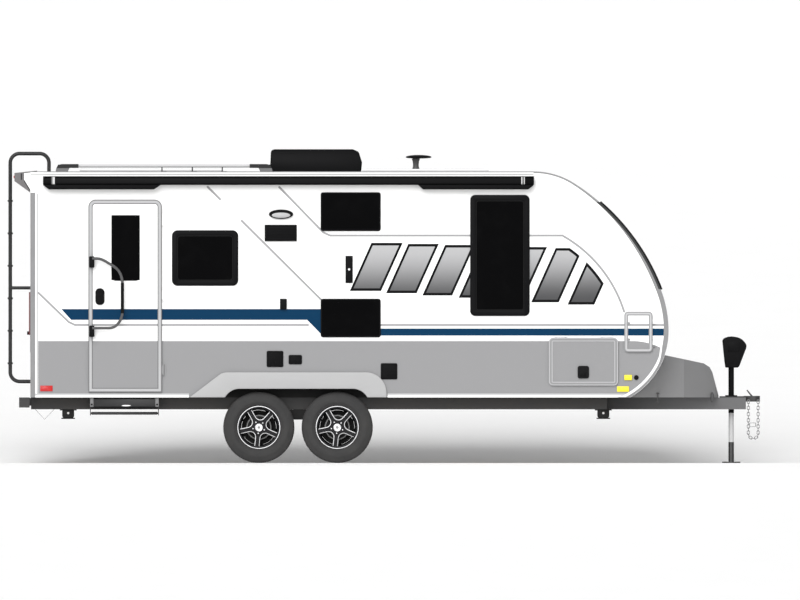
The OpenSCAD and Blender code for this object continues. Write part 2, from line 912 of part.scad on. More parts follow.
module entry_step() {
    color("black")
        difference() {
            union() {
                bar_x(step_x0 + step_plate + 6, step_x1 - step_plate - 6, -step_y, step_z, step_pin + 6);
                box(
                    [step_x0 + step_plate + 6, -step_y, step_z - 11],
                    [step_x1 - step_plate - 6, -step_back - 5, step_z + 11]
                );
            }
            bar_x(step_x0, step_x1, -step_y, step_z, step_pin + pin_clear);
        }
}

// Running gear

module axles() {
    color("black")
        for (end = [-1, 1]) {
            rod_y(axle_x(end), wheel_r, -930, 930, axle_r);
            for (side = [-1, 1]) {
                translate([axle_x(end), side * 932.5, wheel_r]) rotate([90, 0, 0])
                    cylinder(h = 15, r = drum_r + 4, center = true);
                translate([axle_x(end), side * 940, wheel_r]) rotate([side * -90, 0, 0])
                    cylinder(h = 140, r = spindle_r);
                on_side(side, spring_y0, spring_y1)
                    translate([axle_x(end) - 50, wheel_r]) square([100, spring_low - wheel_r]);
            }
        }
}

// Leaf springs, two to a side, with an eye at each end
spring_y0 = 861;
spring_y1 = 897;
spring_low = 388;
spring_r = 883;
spring_t = 24;
eye_r = 18;
eye_pin = 8;
eye_gap = 113;
eye_rad = spring_r + spring_t / 2;
eye_x = axle_gap / 2 - eye_gap;
spring_a = asin(eye_x / eye_rad);
eye_z = spring_low + spring_r + spring_t - eye_rad * cos(spring_a);
module leaf_springs() {
    color("dimgray")
        for (side = [-1, 1], end = [-1, 1]) {
            c = [axle_x(end), spring_low + spring_r + spring_t];
            on_side(side, spring_y0, spring_y1)
                difference() {
                    union() {
                        difference() {
                            sector(c, spring_r + spring_t, -90 - spring_a, -90 + spring_a);
                            translate(c) circle(spring_r);
                        }
                        for (s = [-1, 1]) translate([c.x + s * eye_x, eye_z]) circle(eye_r, $fn = 48);
                    }
                    for (s = [-1, 1]) translate([c.x + s * eye_x, eye_z]) circle(eye_pin + 0.05, $fn = 48);
                }
        }
}

// Hangers under the main beams: side plates with the pins of the spring eyes
hanger_t = 6;
module hanger_plates(side, shape_x, top, foot) {
    for (y = [spring_y0 - 1 - hanger_t, spring_y1 + 1])
        on_side(side, y, y + hanger_t)
            polygon([
                [shape_x - foot, eye_z - 22], [shape_x + foot, eye_z - 22],
                [shape_x + top, beam_z], [shape_x - top, beam_z],
            ]);
}

module spring_hangers() {
    color("dimgray")
        for (side = [-1, 1]) {
            for (end = [-1, 1]) {
                hanger_plates(side, axle_x(end) + end * eye_x, 30, 28);
                for (s = [-1, 1])
                    rod_y(axle_x(end) + s * eye_x, eye_z,
                        side * (spring_y0 + spring_y1) / 2 - 25, side * (spring_y0 + spring_y1) / 2 + 25, eye_pin);
            }
            hanger_plates(side, axle_mid_x, 45, eye_gap + 28);
        }
}

// Corner stabilizers, folded up under the chassis
STAND_X = [-3050, 2114];
module stabilizers() {
    color("dimgray")
        for (x = STAND_X, side = [-1, 1])
            on_side(side, rail_y - 305, rail_y - 5)
                polygon([
                    [x - 58, beam_z], [x - 58, 450], [x - 40, 425], [x + 40, 425], [x + 58, 450], [x + 58, beam_z],
                ]);
}

// Tongue fittings

// Gas locker: a moulded cover on a tray, behind the jack
locker_t = 8;
locker_gap = 8;
tray_t = 10;
LOCKER = [
    [2300, base_z], [2300, 1043], [2709, 1041], [3082, 962], [3140, 925], [3166, 878], [3226, 650], [3226, base_z],
];
PLAN = [
    [2300, 790], [2892, 700], [3080, 480], [3190, 330], [3240, 180], [3240, -180], [3190, -330],
    [3080, -480], [2892, -700], [2300, -790],
];
module gas_locker() {
    color("gray")
        difference() {
            intersection() {
                across(-half_w, half_w)
                    difference() {
                        polygon(LOCKER);
                        outline(-locker_gap);
                    }
                upward(base_z, roof_z) polygon(PLAN);
            }
            intersection() {
                across(-half_w, half_w)
                    difference() {
                        offset(delta = -locker_t) polygon(LOCKER);
                        outline(-locker_gap - locker_t);
                    }
                upward(base_z + tray_t, roof_z) offset(delta = -locker_t) polygon(PLAN);
            }
        }
}

// Tongue jack: a post through the coupler plate, a motor head and the drop leg
jack_low = 484;
jack_top = 920;
plate_t = 12;
sleeve_top = 202;
module jack_post() {
    color("black")
        translate([jack_x, 0, 0]) {
            translate([0, 0, jack_low]) cylinder(h = jack_top - jack_low, r = jack_r);
            translate([0, 0, base_z + plate_t]) cylinder(h = 10, r = 58);
        }
}

// Motor head in side view, from the top of the post
JACK_HEAD = [
    [-57, 0], [-66, 60], [-78, 173], [-86, 258], [-82, 274], [-63, 288], [-30, 299], [4, 302], [42, 298], [80, 288],
    [106, 272], [126, 252], [144, 228], [149, 210], [145, 187], [78, 12], [64, 0],
];
module jack_head() {
    color("black")
        across(-75, 75)
            polygon([
                for (p = JACK_HEAD) [jack_x + p.x, jack_top + p.y],
            ]);
}

module jack_leg() {
    color("silver")
        translate([jack_x, 0, 0]) {
            cylinder(h = 13, r = 89);
            translate([0, 0, 13]) cylinder(h = sleeve_top - 13, r = jack_r);
            translate([0, 0, sleeve_top]) cylinder(h = jack_low - sleeve_top, r = jack_r - 2);
        }
}

// Coupler: a plate on the tongue beams with a ball socket at its nose and bars for the chains
coupler_z = 592;
hook_bar = 6;
CHAIN_X = [3514, 3608];
bar_z_at = coupler_z + 8;
chain_y = 68;
module coupler() {
    color("dimgray")
        difference() {
            union() {
                upward(base_z, base_z + plate_t)
                    polygon([
                        [3235, 185], [3500, 60], [3500, -60], [3235, -185],
                    ]);
                upward(coupler_z, base_z + 15) {
                    translate([3470, -42]) square([socket_x - 3470, 84]);
                    sector([socket_x, 0], 48, -45, 45);
                    sector([socket_x, 0], 48, 45, 90);
                    sector([socket_x, 0], 48, -90, -45);
                }
                across(-12, 12)
                    polygon([
                        [3495, base_z + 68], [3504, base_z + 75], [3560, base_z + 10], [3538, base_z + 10],
                    ]);
                for (x = CHAIN_X) rod_y(x, bar_z_at, -chain_y - 20, chain_y + 20, hook_bar);
            }
            translate([socket_x, 0, coupler_z - 1]) cylinder(h = socket_h + 1, r = socket_r);
            translate([jack_x, 0, base_z - 1]) cylinder(h = plate_t + 2, r = jack_r + 0.3);
        }
}

// Safety chains: loops of oval links from the coupler's two bars, each link hung in the one before
link_wire = 3.6;
link_in = 8.8;
link_pitch = 30.2;
link_gap = 0.4;
bend_gap = 1.2;
corner_gap = 2.45;
LINK_N = 8;
RING_N = 6;
link_half = link_pitch / 2;
function link_bend(i) =
    let (a = 360 * (i + 0.5) / LINK_N, s = link_half - cos(180 / LINK_N) * link_in)
        [cos(a) * (link_in + link_wire), sin(a) * (link_in + link_wire) + sign(sin(a)) * s, a];
module chain_link() {
    points = [
        for (i = [0 : LINK_N - 1], j = [0 : RING_N - 1])
            let (p = link_bend(i), b = 360 * j / RING_N, q = link_wire * cos(b))
                [p[0] + q * cos(p[2]), link_wire * sin(b), p[1] + q * sin(p[2])],
    ];
    faces = [
        for (i = [0 : LINK_N - 1], j = [0 : RING_N - 1])
            let (n = (i + 1) % LINK_N, k = (j + 1) % RING_N)
                [i * RING_N + j, i * RING_N + k, n * RING_N + k, n * RING_N + j],
    ];
    polyhedron(points, faces);
}

// Links on each straight side and on each side of the lowest one, and the turn that seats their bars in the bend
hung_n = 11;
bend_n = 2;
chain_x = (CHAIN_X[0] + CHAIN_X[1]) / 2;
chain_r = (CHAIN_X[1] - CHAIN_X[0]) / 2;
link_turn = 2 * (acos(bend_gap / 2 / norm([link_half, chain_r])) - atan2(chain_r, link_half));
bend_end = bend_n * link_turn;
bend_tip = chain_r * [sin(bend_end), -cos(bend_end)] + link_half * [cos(bend_end), sin(bend_end)];
hung_low = bend_tip.y + link_half - corner_gap;
chain_top = bar_z_at + hook_bar + 0.3 - link_half;
chain_z = chain_top - (hung_n - 1) * (link_pitch - link_gap) - hung_low;
function link_at(k) =
    abs(k) <= bend_n ?
        [chain_x + chain_r * sin(k * link_turn), chain_z - chain_r * cos(k * link_turn), 90 - k * link_turn]
    : [chain_x + sign(k) * chain_r, chain_z + hung_low + (abs(k) - bend_n - 1) * (link_pitch - link_gap), 0];
module safety_chains() {
    color("silver")
        for (side = [-1, 1], k = [-hung_n - bend_n : hung_n + bend_n]) {
            p = link_at(k);
            translate([p[0], side * chain_y, p[1]]) rotate([0, p[2], 0])
                rotate([0, 0, (abs(k) + hung_n + bend_n) % 2 == 0 ? 0 : 90]) chain_link();
        }
}

// Wheels

// Half of a tyre's section, from the bead to the crown: distance from the middle plane, radius
bead_r = seat_d / 2 + 0.5;
bead_y = rim_w / 2 - 0.5;
side_r = seat_d / 2 + flange_h + 0.5;
side_h = wheel_r - side_r;
half_tw = tyre_w / 2;
TYRE = [
    [0, bead_r + 7], [bead_y - 11.5, bead_r + 7], [bead_y - 5.5, bead_r], [bead_y, bead_r], [bead_y, side_r],
    [0.898 * half_tw, side_r + 0.103 * side_h], [0.976 * half_tw, side_r + 0.272 * side_h],
    [half_tw, side_r + 0.441 * side_h], [0.976 * half_tw, side_r + 0.618 * side_h],
    [0.898 * half_tw, side_r + 0.787 * side_h], [0.82 * half_tw, side_r + 0.897 * side_h],
    [0.722 * half_tw, side_r + 0.963 * side_h], [0.585 * half_tw, side_r + 0.985 * side_h], [0, wheel_r],
];
module tyre(end, side) {
    color("black")
        translate([axle_x(end), side * half_track, wheel_r]) rotate([90, 0, 0])
            rotate_extrude()
                polygon([
                    for (p = TYRE) [p[1], p[0]],
                    for (i = [len(TYRE) - 2 : -1 : 1]) [TYRE[i][1], -TYRE[i][0]],
                ]);
}

module tyre_front_right() {
    tyre(1, -1);
}

module tyre_rear_right() {
    tyre(-1, -1);
}

module tyre_front_left() {
    tyre(1, 1);
}

module tyre_rear_left() {
    tyre(-1, 1);
}

// A wheel: a rim with five spokes, its centre cap and the brake drum behind it
// Local axis is z, outwards from the vehicle, from the middle plane of the tyre
spoke_n = 5;
barrel_t = 9;
hub_in = 142;
module wheel(end, side) {
    seat = seat_d / 2;
    half = rim_w / 2;
    color("dimgray")
        translate([axle_x(end), side * half_track, wheel_r]) rotate([side > 0 ? -90 : 90, 0, 0])
            difference() {
                union() {
                    rotate_extrude()
                        polygon([
                            [seat - barrel_t, -half - 8], [seat + flange_h, -half - 8], [seat + flange_h, -half],
                            [seat, -half], [seat, half], [seat + flange_h, half], [seat + flange_h, half + 8],
                            [seat - barrel_t, half + 8],
                        ]);
                    translate([0, 0, 40]) linear_extrude(22)
                        difference() {
                            circle(seat - barrel_t + 1);
                            for (i = [0 : spoke_n - 1])
                                rotate(i * 360 / spoke_n + 90)
                                    polygon([
                                        [62, -26], [78, -44], [150, -72], [163, -58], [168, 0], [163, 58],
                                        [150, 72], [78, 44], [62, 26],
                                    ]);
                        }
                    translate([0, 0, -10]) cylinder(h = 80, r = 39);
                    translate([0, 0, -hub_in]) cylinder(h = hub_in - 10, r = drum_r);
                    translate([0, 0, -12]) cylinder(h = 53, r = 72);
                }
                translate([0, 0, -hub_in - 1]) cylinder(h = hub_in + 1, r = spindle_r + spindle_clear);
            }
}

module wheel_front_right() {
    wheel(1, -1);
}

module wheel_rear_right() {
    wheel(-1, -1);
}

module wheel_front_left() {
    wheel(1, 1);
}

module wheel_rear_left() {
    wheel(-1, 1);
}

frame_rails();
cross_members();
tongue_beams();
rear_bumper();
floor();
wheel_wells();
wall_right();
wall_left();
roof();
front_cap();
rear_wall();
edge_trims();
skirt_trims();
fender_skirts();
rear_spoiler();
storage_bulkhead();
window_frames();
window_glass();
awning_case();
awning_arms();
roof_cooler();
roof_rails();
solar_panels();
antenna();
ladder_stiles();
ladder_rungs();
red_lamps();
amber_lamps();
porch_light();
service_hatches();
wall_fittings();
door_hinges();
axles();
leaf_springs();
spring_hangers();
stabilizers();
step_frame();
gas_locker();
jack_post();
jack_head();
jack_leg();
coupler();
safety_chains();
entry_door();
door_glass();
door_latch();
grab_handle();
baggage_door_right();
baggage_door_left();
hatch_door();
entry_step();
tyre_front_right();
tyre_rear_right();
tyre_front_left();
tyre_rear_left();
wheel_front_right();
wheel_rear_right();
wheel_front_left();
wheel_rear_left();
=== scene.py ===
import json
from math import atan2, cos, hypot, pi, radians, sin

import bmesh
import bpy
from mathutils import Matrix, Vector

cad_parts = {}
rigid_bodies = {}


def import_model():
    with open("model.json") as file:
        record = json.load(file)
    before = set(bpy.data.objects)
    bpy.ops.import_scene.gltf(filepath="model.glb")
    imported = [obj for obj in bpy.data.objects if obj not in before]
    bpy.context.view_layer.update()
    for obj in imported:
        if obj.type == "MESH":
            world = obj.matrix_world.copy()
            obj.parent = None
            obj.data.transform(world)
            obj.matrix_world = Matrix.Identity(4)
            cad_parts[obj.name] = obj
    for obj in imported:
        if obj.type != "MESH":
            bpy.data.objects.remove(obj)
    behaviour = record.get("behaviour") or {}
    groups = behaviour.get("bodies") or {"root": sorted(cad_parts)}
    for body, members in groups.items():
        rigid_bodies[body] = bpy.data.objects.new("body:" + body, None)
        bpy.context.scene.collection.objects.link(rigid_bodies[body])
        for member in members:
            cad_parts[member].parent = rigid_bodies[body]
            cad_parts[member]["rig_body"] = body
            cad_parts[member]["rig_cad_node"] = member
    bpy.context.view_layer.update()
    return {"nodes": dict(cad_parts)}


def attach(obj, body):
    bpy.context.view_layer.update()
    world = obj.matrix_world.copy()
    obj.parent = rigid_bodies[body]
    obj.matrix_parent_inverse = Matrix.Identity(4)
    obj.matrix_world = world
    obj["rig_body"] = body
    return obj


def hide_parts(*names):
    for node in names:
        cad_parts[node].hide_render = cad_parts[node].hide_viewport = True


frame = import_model()
nodes = frame["nodes"]


# Chassis: welded channel beams, cross members, tongue, bumper, axles and spring hangers.
# All of it is rolled steel under satin paint, darkest on the axles and hangers, paler on the tongue, and dusty. The
# tongue's rear is darkened as painted shade, where it runs in under the body.
class Shade:
    """One socket of a material. Arithmetic on it adds Math nodes."""

    def __init__(self, socket):
        self.socket = socket

    def node(self, kind, settings=(), inputs=(), output=0):
        made = self.socket.id_data.nodes.new(kind)
        for key, setting in dict(settings).items():
            setattr(made, key, setting)
        for key, value in dict(inputs).items():
            if isinstance(value, Shade):
                self.socket.id_data.links.new(value.socket, made.inputs[key])
            else:
                made.inputs[key].default_value = value
        return Shade(made.outputs[output])

    def maths(self, operation, *values):
        return self.node("ShaderNodeMath", {"operation": operation}, dict(enumerate(values)))

    def along(self, axis):
        return self.node("ShaderNodeSeparateXYZ", {}, {0: self}, axis)

    def scaled(self, *sizes):
        return self.node("ShaderNodeMapping", {}, {"Vector": self, "Scale": sizes})

    def __add__(self, other):
        return self.maths("ADD", self, other)

    __radd__ = __add__

    def __mul__(self, other):
        return self.maths("MULTIPLY", self, other)

    def __sub__(self, other):
        return self.maths("SUBTRACT", self, other)

    def __rsub__(self, other):
        return self.maths("SUBTRACT", other, self)

    def __lt__(self, other):
        return self.maths("LESS_THAN", self, other)

    def __gt__(self, other):
        return self.maths("GREATER_THAN", self, other)

    def __abs__(self):
        return self.maths("ABSOLUTE", self)


def finish(name, colour, roughness, metallic=0.0, coat=0.0, specular=0.5):
    """A new material: its Principled shader and the place on the piece."""
    made = bpy.data.materials.new(name)
    made.use_nodes = True
    shader = made.node_tree.nodes["Principled BSDF"]
    shader.inputs["Base Color"].default_value = (*colour, 1)
    shader.inputs["Roughness"].default_value = roughness
    shader.inputs["Metallic"].default_value = metallic
    shader.inputs["Coat Weight"].default_value = coat
    shader.inputs["Specular IOR Level"].default_value = specular
    place = Shade(made.node_tree.nodes.new("ShaderNodeTexCoord").outputs["Object"])
    return made, shader, place


def feed(shader, **sockets):
    for name, value in sockets.items():
        shader.id_data.links.new(value.socket, shader.inputs[name.replace("_", " ")])


def noise(place, scale, detail=3.0):
    return place.node("ShaderNodeTexNoise", {}, {"Vector": place, "Scale": scale, "Detail": detail})


def over(mask, below, above):
    """Colour above laid over colour below where the mask is 1."""
    low, top = (tone if isinstance(tone, Shade) else (*tone, 1) for tone in (below, above))
    return mask.node("ShaderNodeMix", {"data_type": "RGBA"}, {0: mask, 6: low, 7: top}, 2)


def bumped(height, distance, strength=0.3):
    return height.node("ShaderNodeBump", {}, {"Strength": strength, "Distance": distance, "Height": height})


def smooth(value, low, high):
    """0 below low, 1 above high and an even slope between them."""
    ends = {"Value": value, 1: low, 2: high, 3: 0.0, 4: 1.0}
    return value.node("ShaderNodeMapRange", {"interpolation_type": "SMOOTHSTEP"}, ends)


def coated(name, colour, roughness, grain, depth, tint=0.12, dust=0.0, specular=0.5):
    """A finish with fine grain, uneven gloss and, low down, some road dust."""
    made, shader, place = finish(name, colour, roughness, specular=specular)
    fine = noise(place, grain, 2.0)
    broad = noise(place, 2.3, 4.0)
    tone = over(broad, [c * (1 - tint) for c in colour], [c * (1 + tint) for c in colour])
    gloss = roughness + (broad - 0.5) * 0.16 + (fine - 0.5) * 0.08
    if dust:
        low = (1 - smooth(place.along(2), 0.3, 0.7)) * smooth(broad, 0.3, 0.7) * dust
        tone = over(low, tone, (0.2, 0.18, 0.15))
        gloss = gloss + low * 0.3
    feed(shader, Base_Color=tone, Roughness=gloss, Normal=bumped(fine, depth))
    return made


def paint(material, *names):
    for name in names:
        nodes[name].data.materials.clear()
        nodes[name].data.materials.append(material)


chassis_black = (0.022, 0.022, 0.023)
chassis_paint = coated("chassis_paint", chassis_black, 0.42, 260, 0.0006, dust=0.2, specular=0.25)
paint(chassis_paint, "frame_rails", "cross_members", "rear_bumper")
low_black = coated("low_black", (0.009, 0.009, 0.0095), 0.45, 260, 0.0006, dust=0.06, specular=0.12)
paint(low_black, "axles", "spring_hangers")
tongue_paint, shader, place = finish("tongue_paint", (0.1, 0.1, 0.102), 0.45, specular=0.2)
# Painted shade: the tongue beams darken from the front end back towards the body, where they run in under it.
painted_shade_fade = smooth(place.along(0), 2.05, 3.2)
speckle = noise(place, 260, 2.0)
feed(shader, Base_Color=over(painted_shade_fade, chassis_black, (0.125, 0.125, 0.127)), Roughness=0.4 + speckle * 0.12,
     Normal=bumped(speckle, 0.0006))
paint(tongue_paint, "tongue_beams")


# Leaf springs: packs of sprung steel strips on top of the axles, held down by U-bolts.
# Bare rolled steel, oiled dark, with the joints between the leaves showing on their edges.
def ripple(value, per_metre):
    """An even wave along a value, from 0 to 0.5."""
    repeats = value * per_metre
    return abs(repeats.maths("FRACT", repeats) - 0.5)


spring_steel, shader, place = finish("spring_steel", (0.05, 0.048, 0.046), 0.5, 0.85)
leaves = ripple(place.along(2), 125)
rust = smooth(noise(place, 14, 5.0), 0.5, 0.72)
feed(shader, Base_Color=over(rust * 0.5, (0.05, 0.048, 0.046), (0.13, 0.07, 0.04)), Roughness=0.42 + rust * 0.3,
     Normal=bumped(leaves, 0.0008, 0.25))
paint(spring_steel, "leaf_springs")


# Tyres: ribbed trailer tyres with four grooves and a notched shoulder, in carbon-black rubber.
# Each is turned from one section about its axle, then the notches are pressed into both shoulders.
def only(piece):
    bpy.ops.object.select_all(action="DESELECT")
    piece.select_set(True)
    bpy.context.view_layer.objects.active = piece


def mode(kind):
    bpy.ops.object.mode_set(mode=kind)


def select_whole():
    bpy.ops.mesh.select_all(action="SELECT")


def settle(piece):
    """Puts a piece's place into its mesh."""
    only(piece)
    bpy.ops.object.transform_apply(location=True, rotation=True, scale=True)


def started(name, scale=(1, 1, 1)):
    """The primitive that was just added, named, at its size and in edit mode."""
    piece = bpy.context.object
    piece.name = name
    piece.scale = scale
    settle(piece)
    mode("EDIT")
    return piece


def pick(piece, kind, wanted):
    """In edit mode, selects the corners, edges or faces that a test on them and their middle accepts."""
    bpy.ops.mesh.select_mode(type=kind)
    bpy.ops.mesh.select_all(action="DESELECT")
    mesh = bmesh.from_edit_mesh(piece.data)
    for part in {"VERT": mesh.verts, "EDGE": mesh.edges, "FACE": mesh.faces}[kind]:
        corners = [part] if kind == "VERT" else part.verts
        if wanted(sum((v.co for v in corners), Vector()) / len(corners), part):
            part.select_set(True)
    bmesh.update_edit_mesh(piece.data)


def trace(name, points):
    """A line of edges drawn corner by corner. It is left in edit mode."""
    bpy.ops.object.select_all(action="DESELECT")
    bpy.ops.mesh.primitive_plane_add(size=0.01, location=points[0])
    line = started(name)
    bpy.ops.mesh.select_mode(type="VERT")
    select_whole()
    bpy.ops.mesh.merge(type="CENTER")
    for here, there in zip(points, points[1:]):
        bpy.ops.mesh.extrude_region_move(TRANSFORM_OT_translate={"value": Vector(there) - Vector(here)})
    return line


def weld(threshold=1e-5):
    select_whole()
    bpy.ops.mesh.remove_doubles(threshold=threshold)


def turn(name, section, centre, axis, steps):
    """A closed section spun right round an axis. It is left in edit mode."""
    piece = trace(name, [*section, section[0]])
    weld()
    select_whole()
    bpy.ops.mesh.spin(steps=steps, angle=2 * pi, center=centre, axis=axis)
    weld()
    bpy.ops.mesh.dissolve_degenerate(threshold=1e-6)
    select_whole()
    bpy.ops.mesh.normals_make_consistent(inside=False)
    return piece


def close(piece, *materials, angle=35):
    """Leaves edit mode, shades by angle and gives the materials."""
    mode("OBJECT")
    only(piece)
    bpy.ops.object.shade_smooth_by_angle(angle=radians(angle))
    if materials:
        piece.data.materials.clear()
        for material in materials:
            piece.data.materials.append(material)


def fit(piece, body, replaced=None):
    """Fixes a piece to a body and hides the CAD node that it stands for, if one is given."""
    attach(piece, body)
    if replaced:
        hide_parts(replaced)


rubber, shader, place = finish("tyre_rubber", (0.03, 0.03, 0.031), 0.72, specular=0.2)
scuff = noise(place, 9, 5.0)
pores = noise(place, 420, 2.0)
feed(shader, Base_Color=over(scuff, (0.02, 0.02, 0.021), (0.042, 0.041, 0.04)), Roughness=0.62 + scuff * 0.22,
     Normal=bumped(pores, 0.0006, 0.35))
hub_x = [-0.454, -1.21]
hub_y = 1.092
hub_z = 0.344


def radius_of(middle):
    return hypot(middle.x - hub_x[0], middle.z - hub_z)


side_half = [(0.07, 0.1925), (0.0765, 0.197), (0.0775, 0.209), (0.083, 0.215), (0.094, 0.227), (0.099, 0.24),
             (0.1006, 0.2425), (0.1014, 0.248), (0.1022, 0.262), (0.102, 0.274), (0.0992, 0.292), (0.0975, 0.2945),
             (0.0925, 0.311), (0.0875, 0.322), (0.0815, 0.3305), (0.075, 0.3375)]
tread_half = [(0.054, 0.3418), (0.0526, 0.335), (0.0444, 0.335), (0.043, 0.3426), (0.0215, 0.3436), (0.0201, 0.3358),
              (0.0119, 0.3358), (0.0105, 0.3438)]
half = side_half + tread_half
section = [(hub_x[0], -hub_y - u, hub_z + r) for u, r in half]
section += [(hub_x[0], -hub_y + u, hub_z + r) for u, r in reversed(half)]
axle_end = Vector((hub_x[0], -hub_y, hub_z))
tyre_steps = 96
tyre = turn("tyre_rubber_front_right", section, axle_end, (0, 1, 0), tyre_steps)
pick(tyre, "FACE", lambda middle, face: 0.338 < radius_of(middle) < 0.3425 and abs(middle.y + hub_y) > 0.055
     and round(atan2(middle.z - hub_z, middle.x - hub_x[0]) * tyre_steps / 2 / pi - 0.5) % 2 == 0)
bpy.ops.mesh.inset(thickness=0.0035, depth=-0.0045, use_individual=True)
close(tyre, rubber, angle=30)
corners = [("rear_right", 1, -1), ("front_left", 0, 1), ("rear_left", 1, 1)]


def four_of(piece, stem, replaced):
    """The front right piece and its copies on the other three wheels, each in place of its CAD node.

    On the road side a copy is turned half round.
    """
    made = {"front_right": piece}
    for corner, axle, side in corners:
        only(piece)
        bpy.ops.object.duplicate()
        made[corner] = bpy.context.object
        made[corner].name = f"{stem}_{corner}"
        made[corner].rotation_euler.z = pi if side > 0 else 0
        made[corner].location.x = hub_x[axle] + side * hub_x[0]
        settle(made[corner])
    for corner in made:
        fit(made[corner], f"wheel_{corner}_body", f"{replaced}_{corner}")


four_of(tyre, "tyre_rubber", "tyre")


# Wheels: cast alloy rims with five broad spokes, black with a bright lip, bright window edges and a bright cap.
# The rim and the cap are turned, one spoke is cut and copied round, and the iron brake drum shows behind it, with a
# painted highlight round its rim.
wheel_black = coated("wheel_black", (0.005, 0.005, 0.006), 0.3, 380, 0.0003, specular=0.12)
wheel_bright, shader, place = finish("wheel_bright", (0.6, 0.6, 0.61), 0.3, 0.9)
lathe = noise(place, 55, 6.0)
feed(shader, Base_Color=over(lathe, (0.5, 0.5, 0.51), (0.68, 0.68, 0.69)), Roughness=0.22 + lathe * 0.2)
wheel_edge = coated("wheel_edge", (0.74, 0.74, 0.75), 0.3, 380, 0.0003, tint=0.05, specular=0.4)
drum_iron = coated("drum_iron", (0.01, 0.01, 0.01), 0.62, 90, 0.0012, tint=0.3, specular=0.1)
# A mid grey, used for the cap's grey centre and as a painted highlight: a ring on the drum's rim where light catches
# its edge.
cap_grey_and_drum_highlight = coated("cap_grey_and_drum_highlight", (0.2, 0.2, 0.2), 0.45, 160, 0.0004, specular=0.3)


def off_hub(u, r, around=pi / 2):
    """A point u outwards of the wheel's middle plane and r from its axle."""
    return hub_x[0] + r * cos(around), -hub_y - u, hub_z + r * sin(around)


def two_finishes(piece, first, second, wanted):
    """Gives a piece in edit mode one finish, and another on the faces that a test accepts."""
    piece.data.materials.append(first)
    piece.data.materials.append(second)
    pick(piece, "FACE", wanted)
    piece.active_material_index = 1
    bpy.ops.object.material_slot_assign()
    close(piece)


rim_section = [(-0.084, 0.2055), (-0.0825, 0.2072), (-0.0772, 0.2072), (-0.0764, 0.1908), (-0.05, 0.1895),
               (-0.03, 0.175), (0.03, 0.178), (0.055, 0.19), (0.0764, 0.1908), (0.0772, 0.207),
               (0.0815, 0.2074), (0.0838, 0.2055), (0.0838, 0.2015), (0.0815, 0.1985), (0.0765, 0.1945),
               (0.0745, 0.189), (0.0735, 0.184), (0.06, 0.1825), (0.03, 0.1715), (-0.03, 0.169),
               (-0.055, 0.1825), (-0.078, 0.185), (-0.084, 0.195)]
wheel = turn("alloy_wheel_front_right", [off_hub(u, r) for u, r in rim_section], axle_end, (0, 1, 0), 72)
two_finishes(wheel, wheel_black, wheel_bright, lambda middle, face: middle.y < -hub_y - 0.0815)


def round_the_hub():
    """Copies what is in edit mode to the other four fifths of the wheel."""
    select_whole()
    bpy.ops.mesh.spin(steps=4, dupli=True, angle=radians(288), center=axle_end, axis=(0, 1, 0))


def off_seam(middle):
    """How far a point lies from the straight joints between two spokes."""
    seam_slope = 0.7265
    return abs(abs(middle.x - hub_x[0]) - seam_slope * (hub_z - middle.z))


window_edge = [(0.075, 0.0), (0.0765, 0.012), (0.081, 0.0235), (0.0885, 0.0335), (0.1, 0.043), (0.13, 0.065),
               (0.1657, 0.09)]
parked = radians(6)
tenth = radians(36)
edge = [(d * cos(tenth) + w * sin(tenth), d * sin(tenth) - w * cos(tenth)) for d, w in window_edge]
blade = [(0, 0), *edge, (0.188, 0.0), *[(a, -c) for a, c in reversed(edge)]]
spoke = trace("wheel_spokes", [(hub_x[0] + c, -hub_y - 0.04, hub_z - a) for a, c in [*blade, blade[0]]])
weld()
select_whole()
bpy.ops.mesh.edge_face_add()
bpy.ops.mesh.extrude_region_move(TRANSFORM_OT_translate={"value": (0, -0.022, 0)})
pick(spoke, "FACE", lambda middle, face: off_seam(middle) < 1e-4)
bpy.ops.mesh.delete(type="ONLY_FACE")
select_whole()
bpy.ops.mesh.normals_make_consistent(inside=False)
spoke.data.materials.append(wheel_black)
spoke.data.materials.append(wheel_edge)
pick(spoke, "EDGE", lambda middle, part: middle.y < -hub_y - 0.0615 and abs(middle.x - hub_x[0]) > 0.02
     and 0.063 < hub_z - middle.z < 0.183 and off_seam(middle) > 1e-3)
bpy.ops.mesh.bevel(offset=0.0062, segments=1, material=1, clamp_overlap=True)
round_the_hub()
weld(1e-4)
close(spoke)

cap_section = [(0.05, 0.0), (0.05, 0.0385), (0.0655, 0.0385), (0.068, 0.036), (0.0672, 0.0325), (0.069, 0.0305),
               (0.07, 0.015), (0.066, 0.011), (0.0655, 0.0)]
cap = turn("wheel_cap", [off_hub(u, r) for u, r in cap_section], axle_end, (0, 1, 0), 40)
two_finishes(cap, wheel_bright, cap_grey_and_drum_highlight,
             lambda middle, face: middle.y < -hub_y - 0.06 and radius_of(middle) < 0.0115)

bpy.ops.object.select_all(action="DESELECT")
bpy.ops.mesh.primitive_cylinder_add(vertices=6, radius=0.0085, depth=0.016, rotation=(pi / 2, 0, 0),
                                    location=off_hub(0.068, 0.0572, -pi / 2))
nuts = started("wheel_nuts")
pick(nuts, "FACE", lambda middle, face: middle.y < -hub_y - 0.0755)
bpy.ops.mesh.inset(thickness=0.003, depth=0.003)
round_the_hub()
close(nuts, wheel_bright)

drum_section = [(-0.1415, 0.0206), (-0.1415, 0.12), (-0.135, 0.1275), (-0.095, 0.1275), (-0.095, 0.165),
                (-0.0935, 0.1665), (-0.09, 0.1665), (-0.0885, 0.165), (-0.0885, 0.1235), (-0.03, 0.1235),
                (-0.02, 0.118), (-0.02, 0.11), (-0.012, 0.072), (0.042, 0.068), (0.042, 0.0206)]
drum = turn("wheel_drum", [off_hub(u, r) for u, r in drum_section], axle_end, (0, 1, 0), 48)
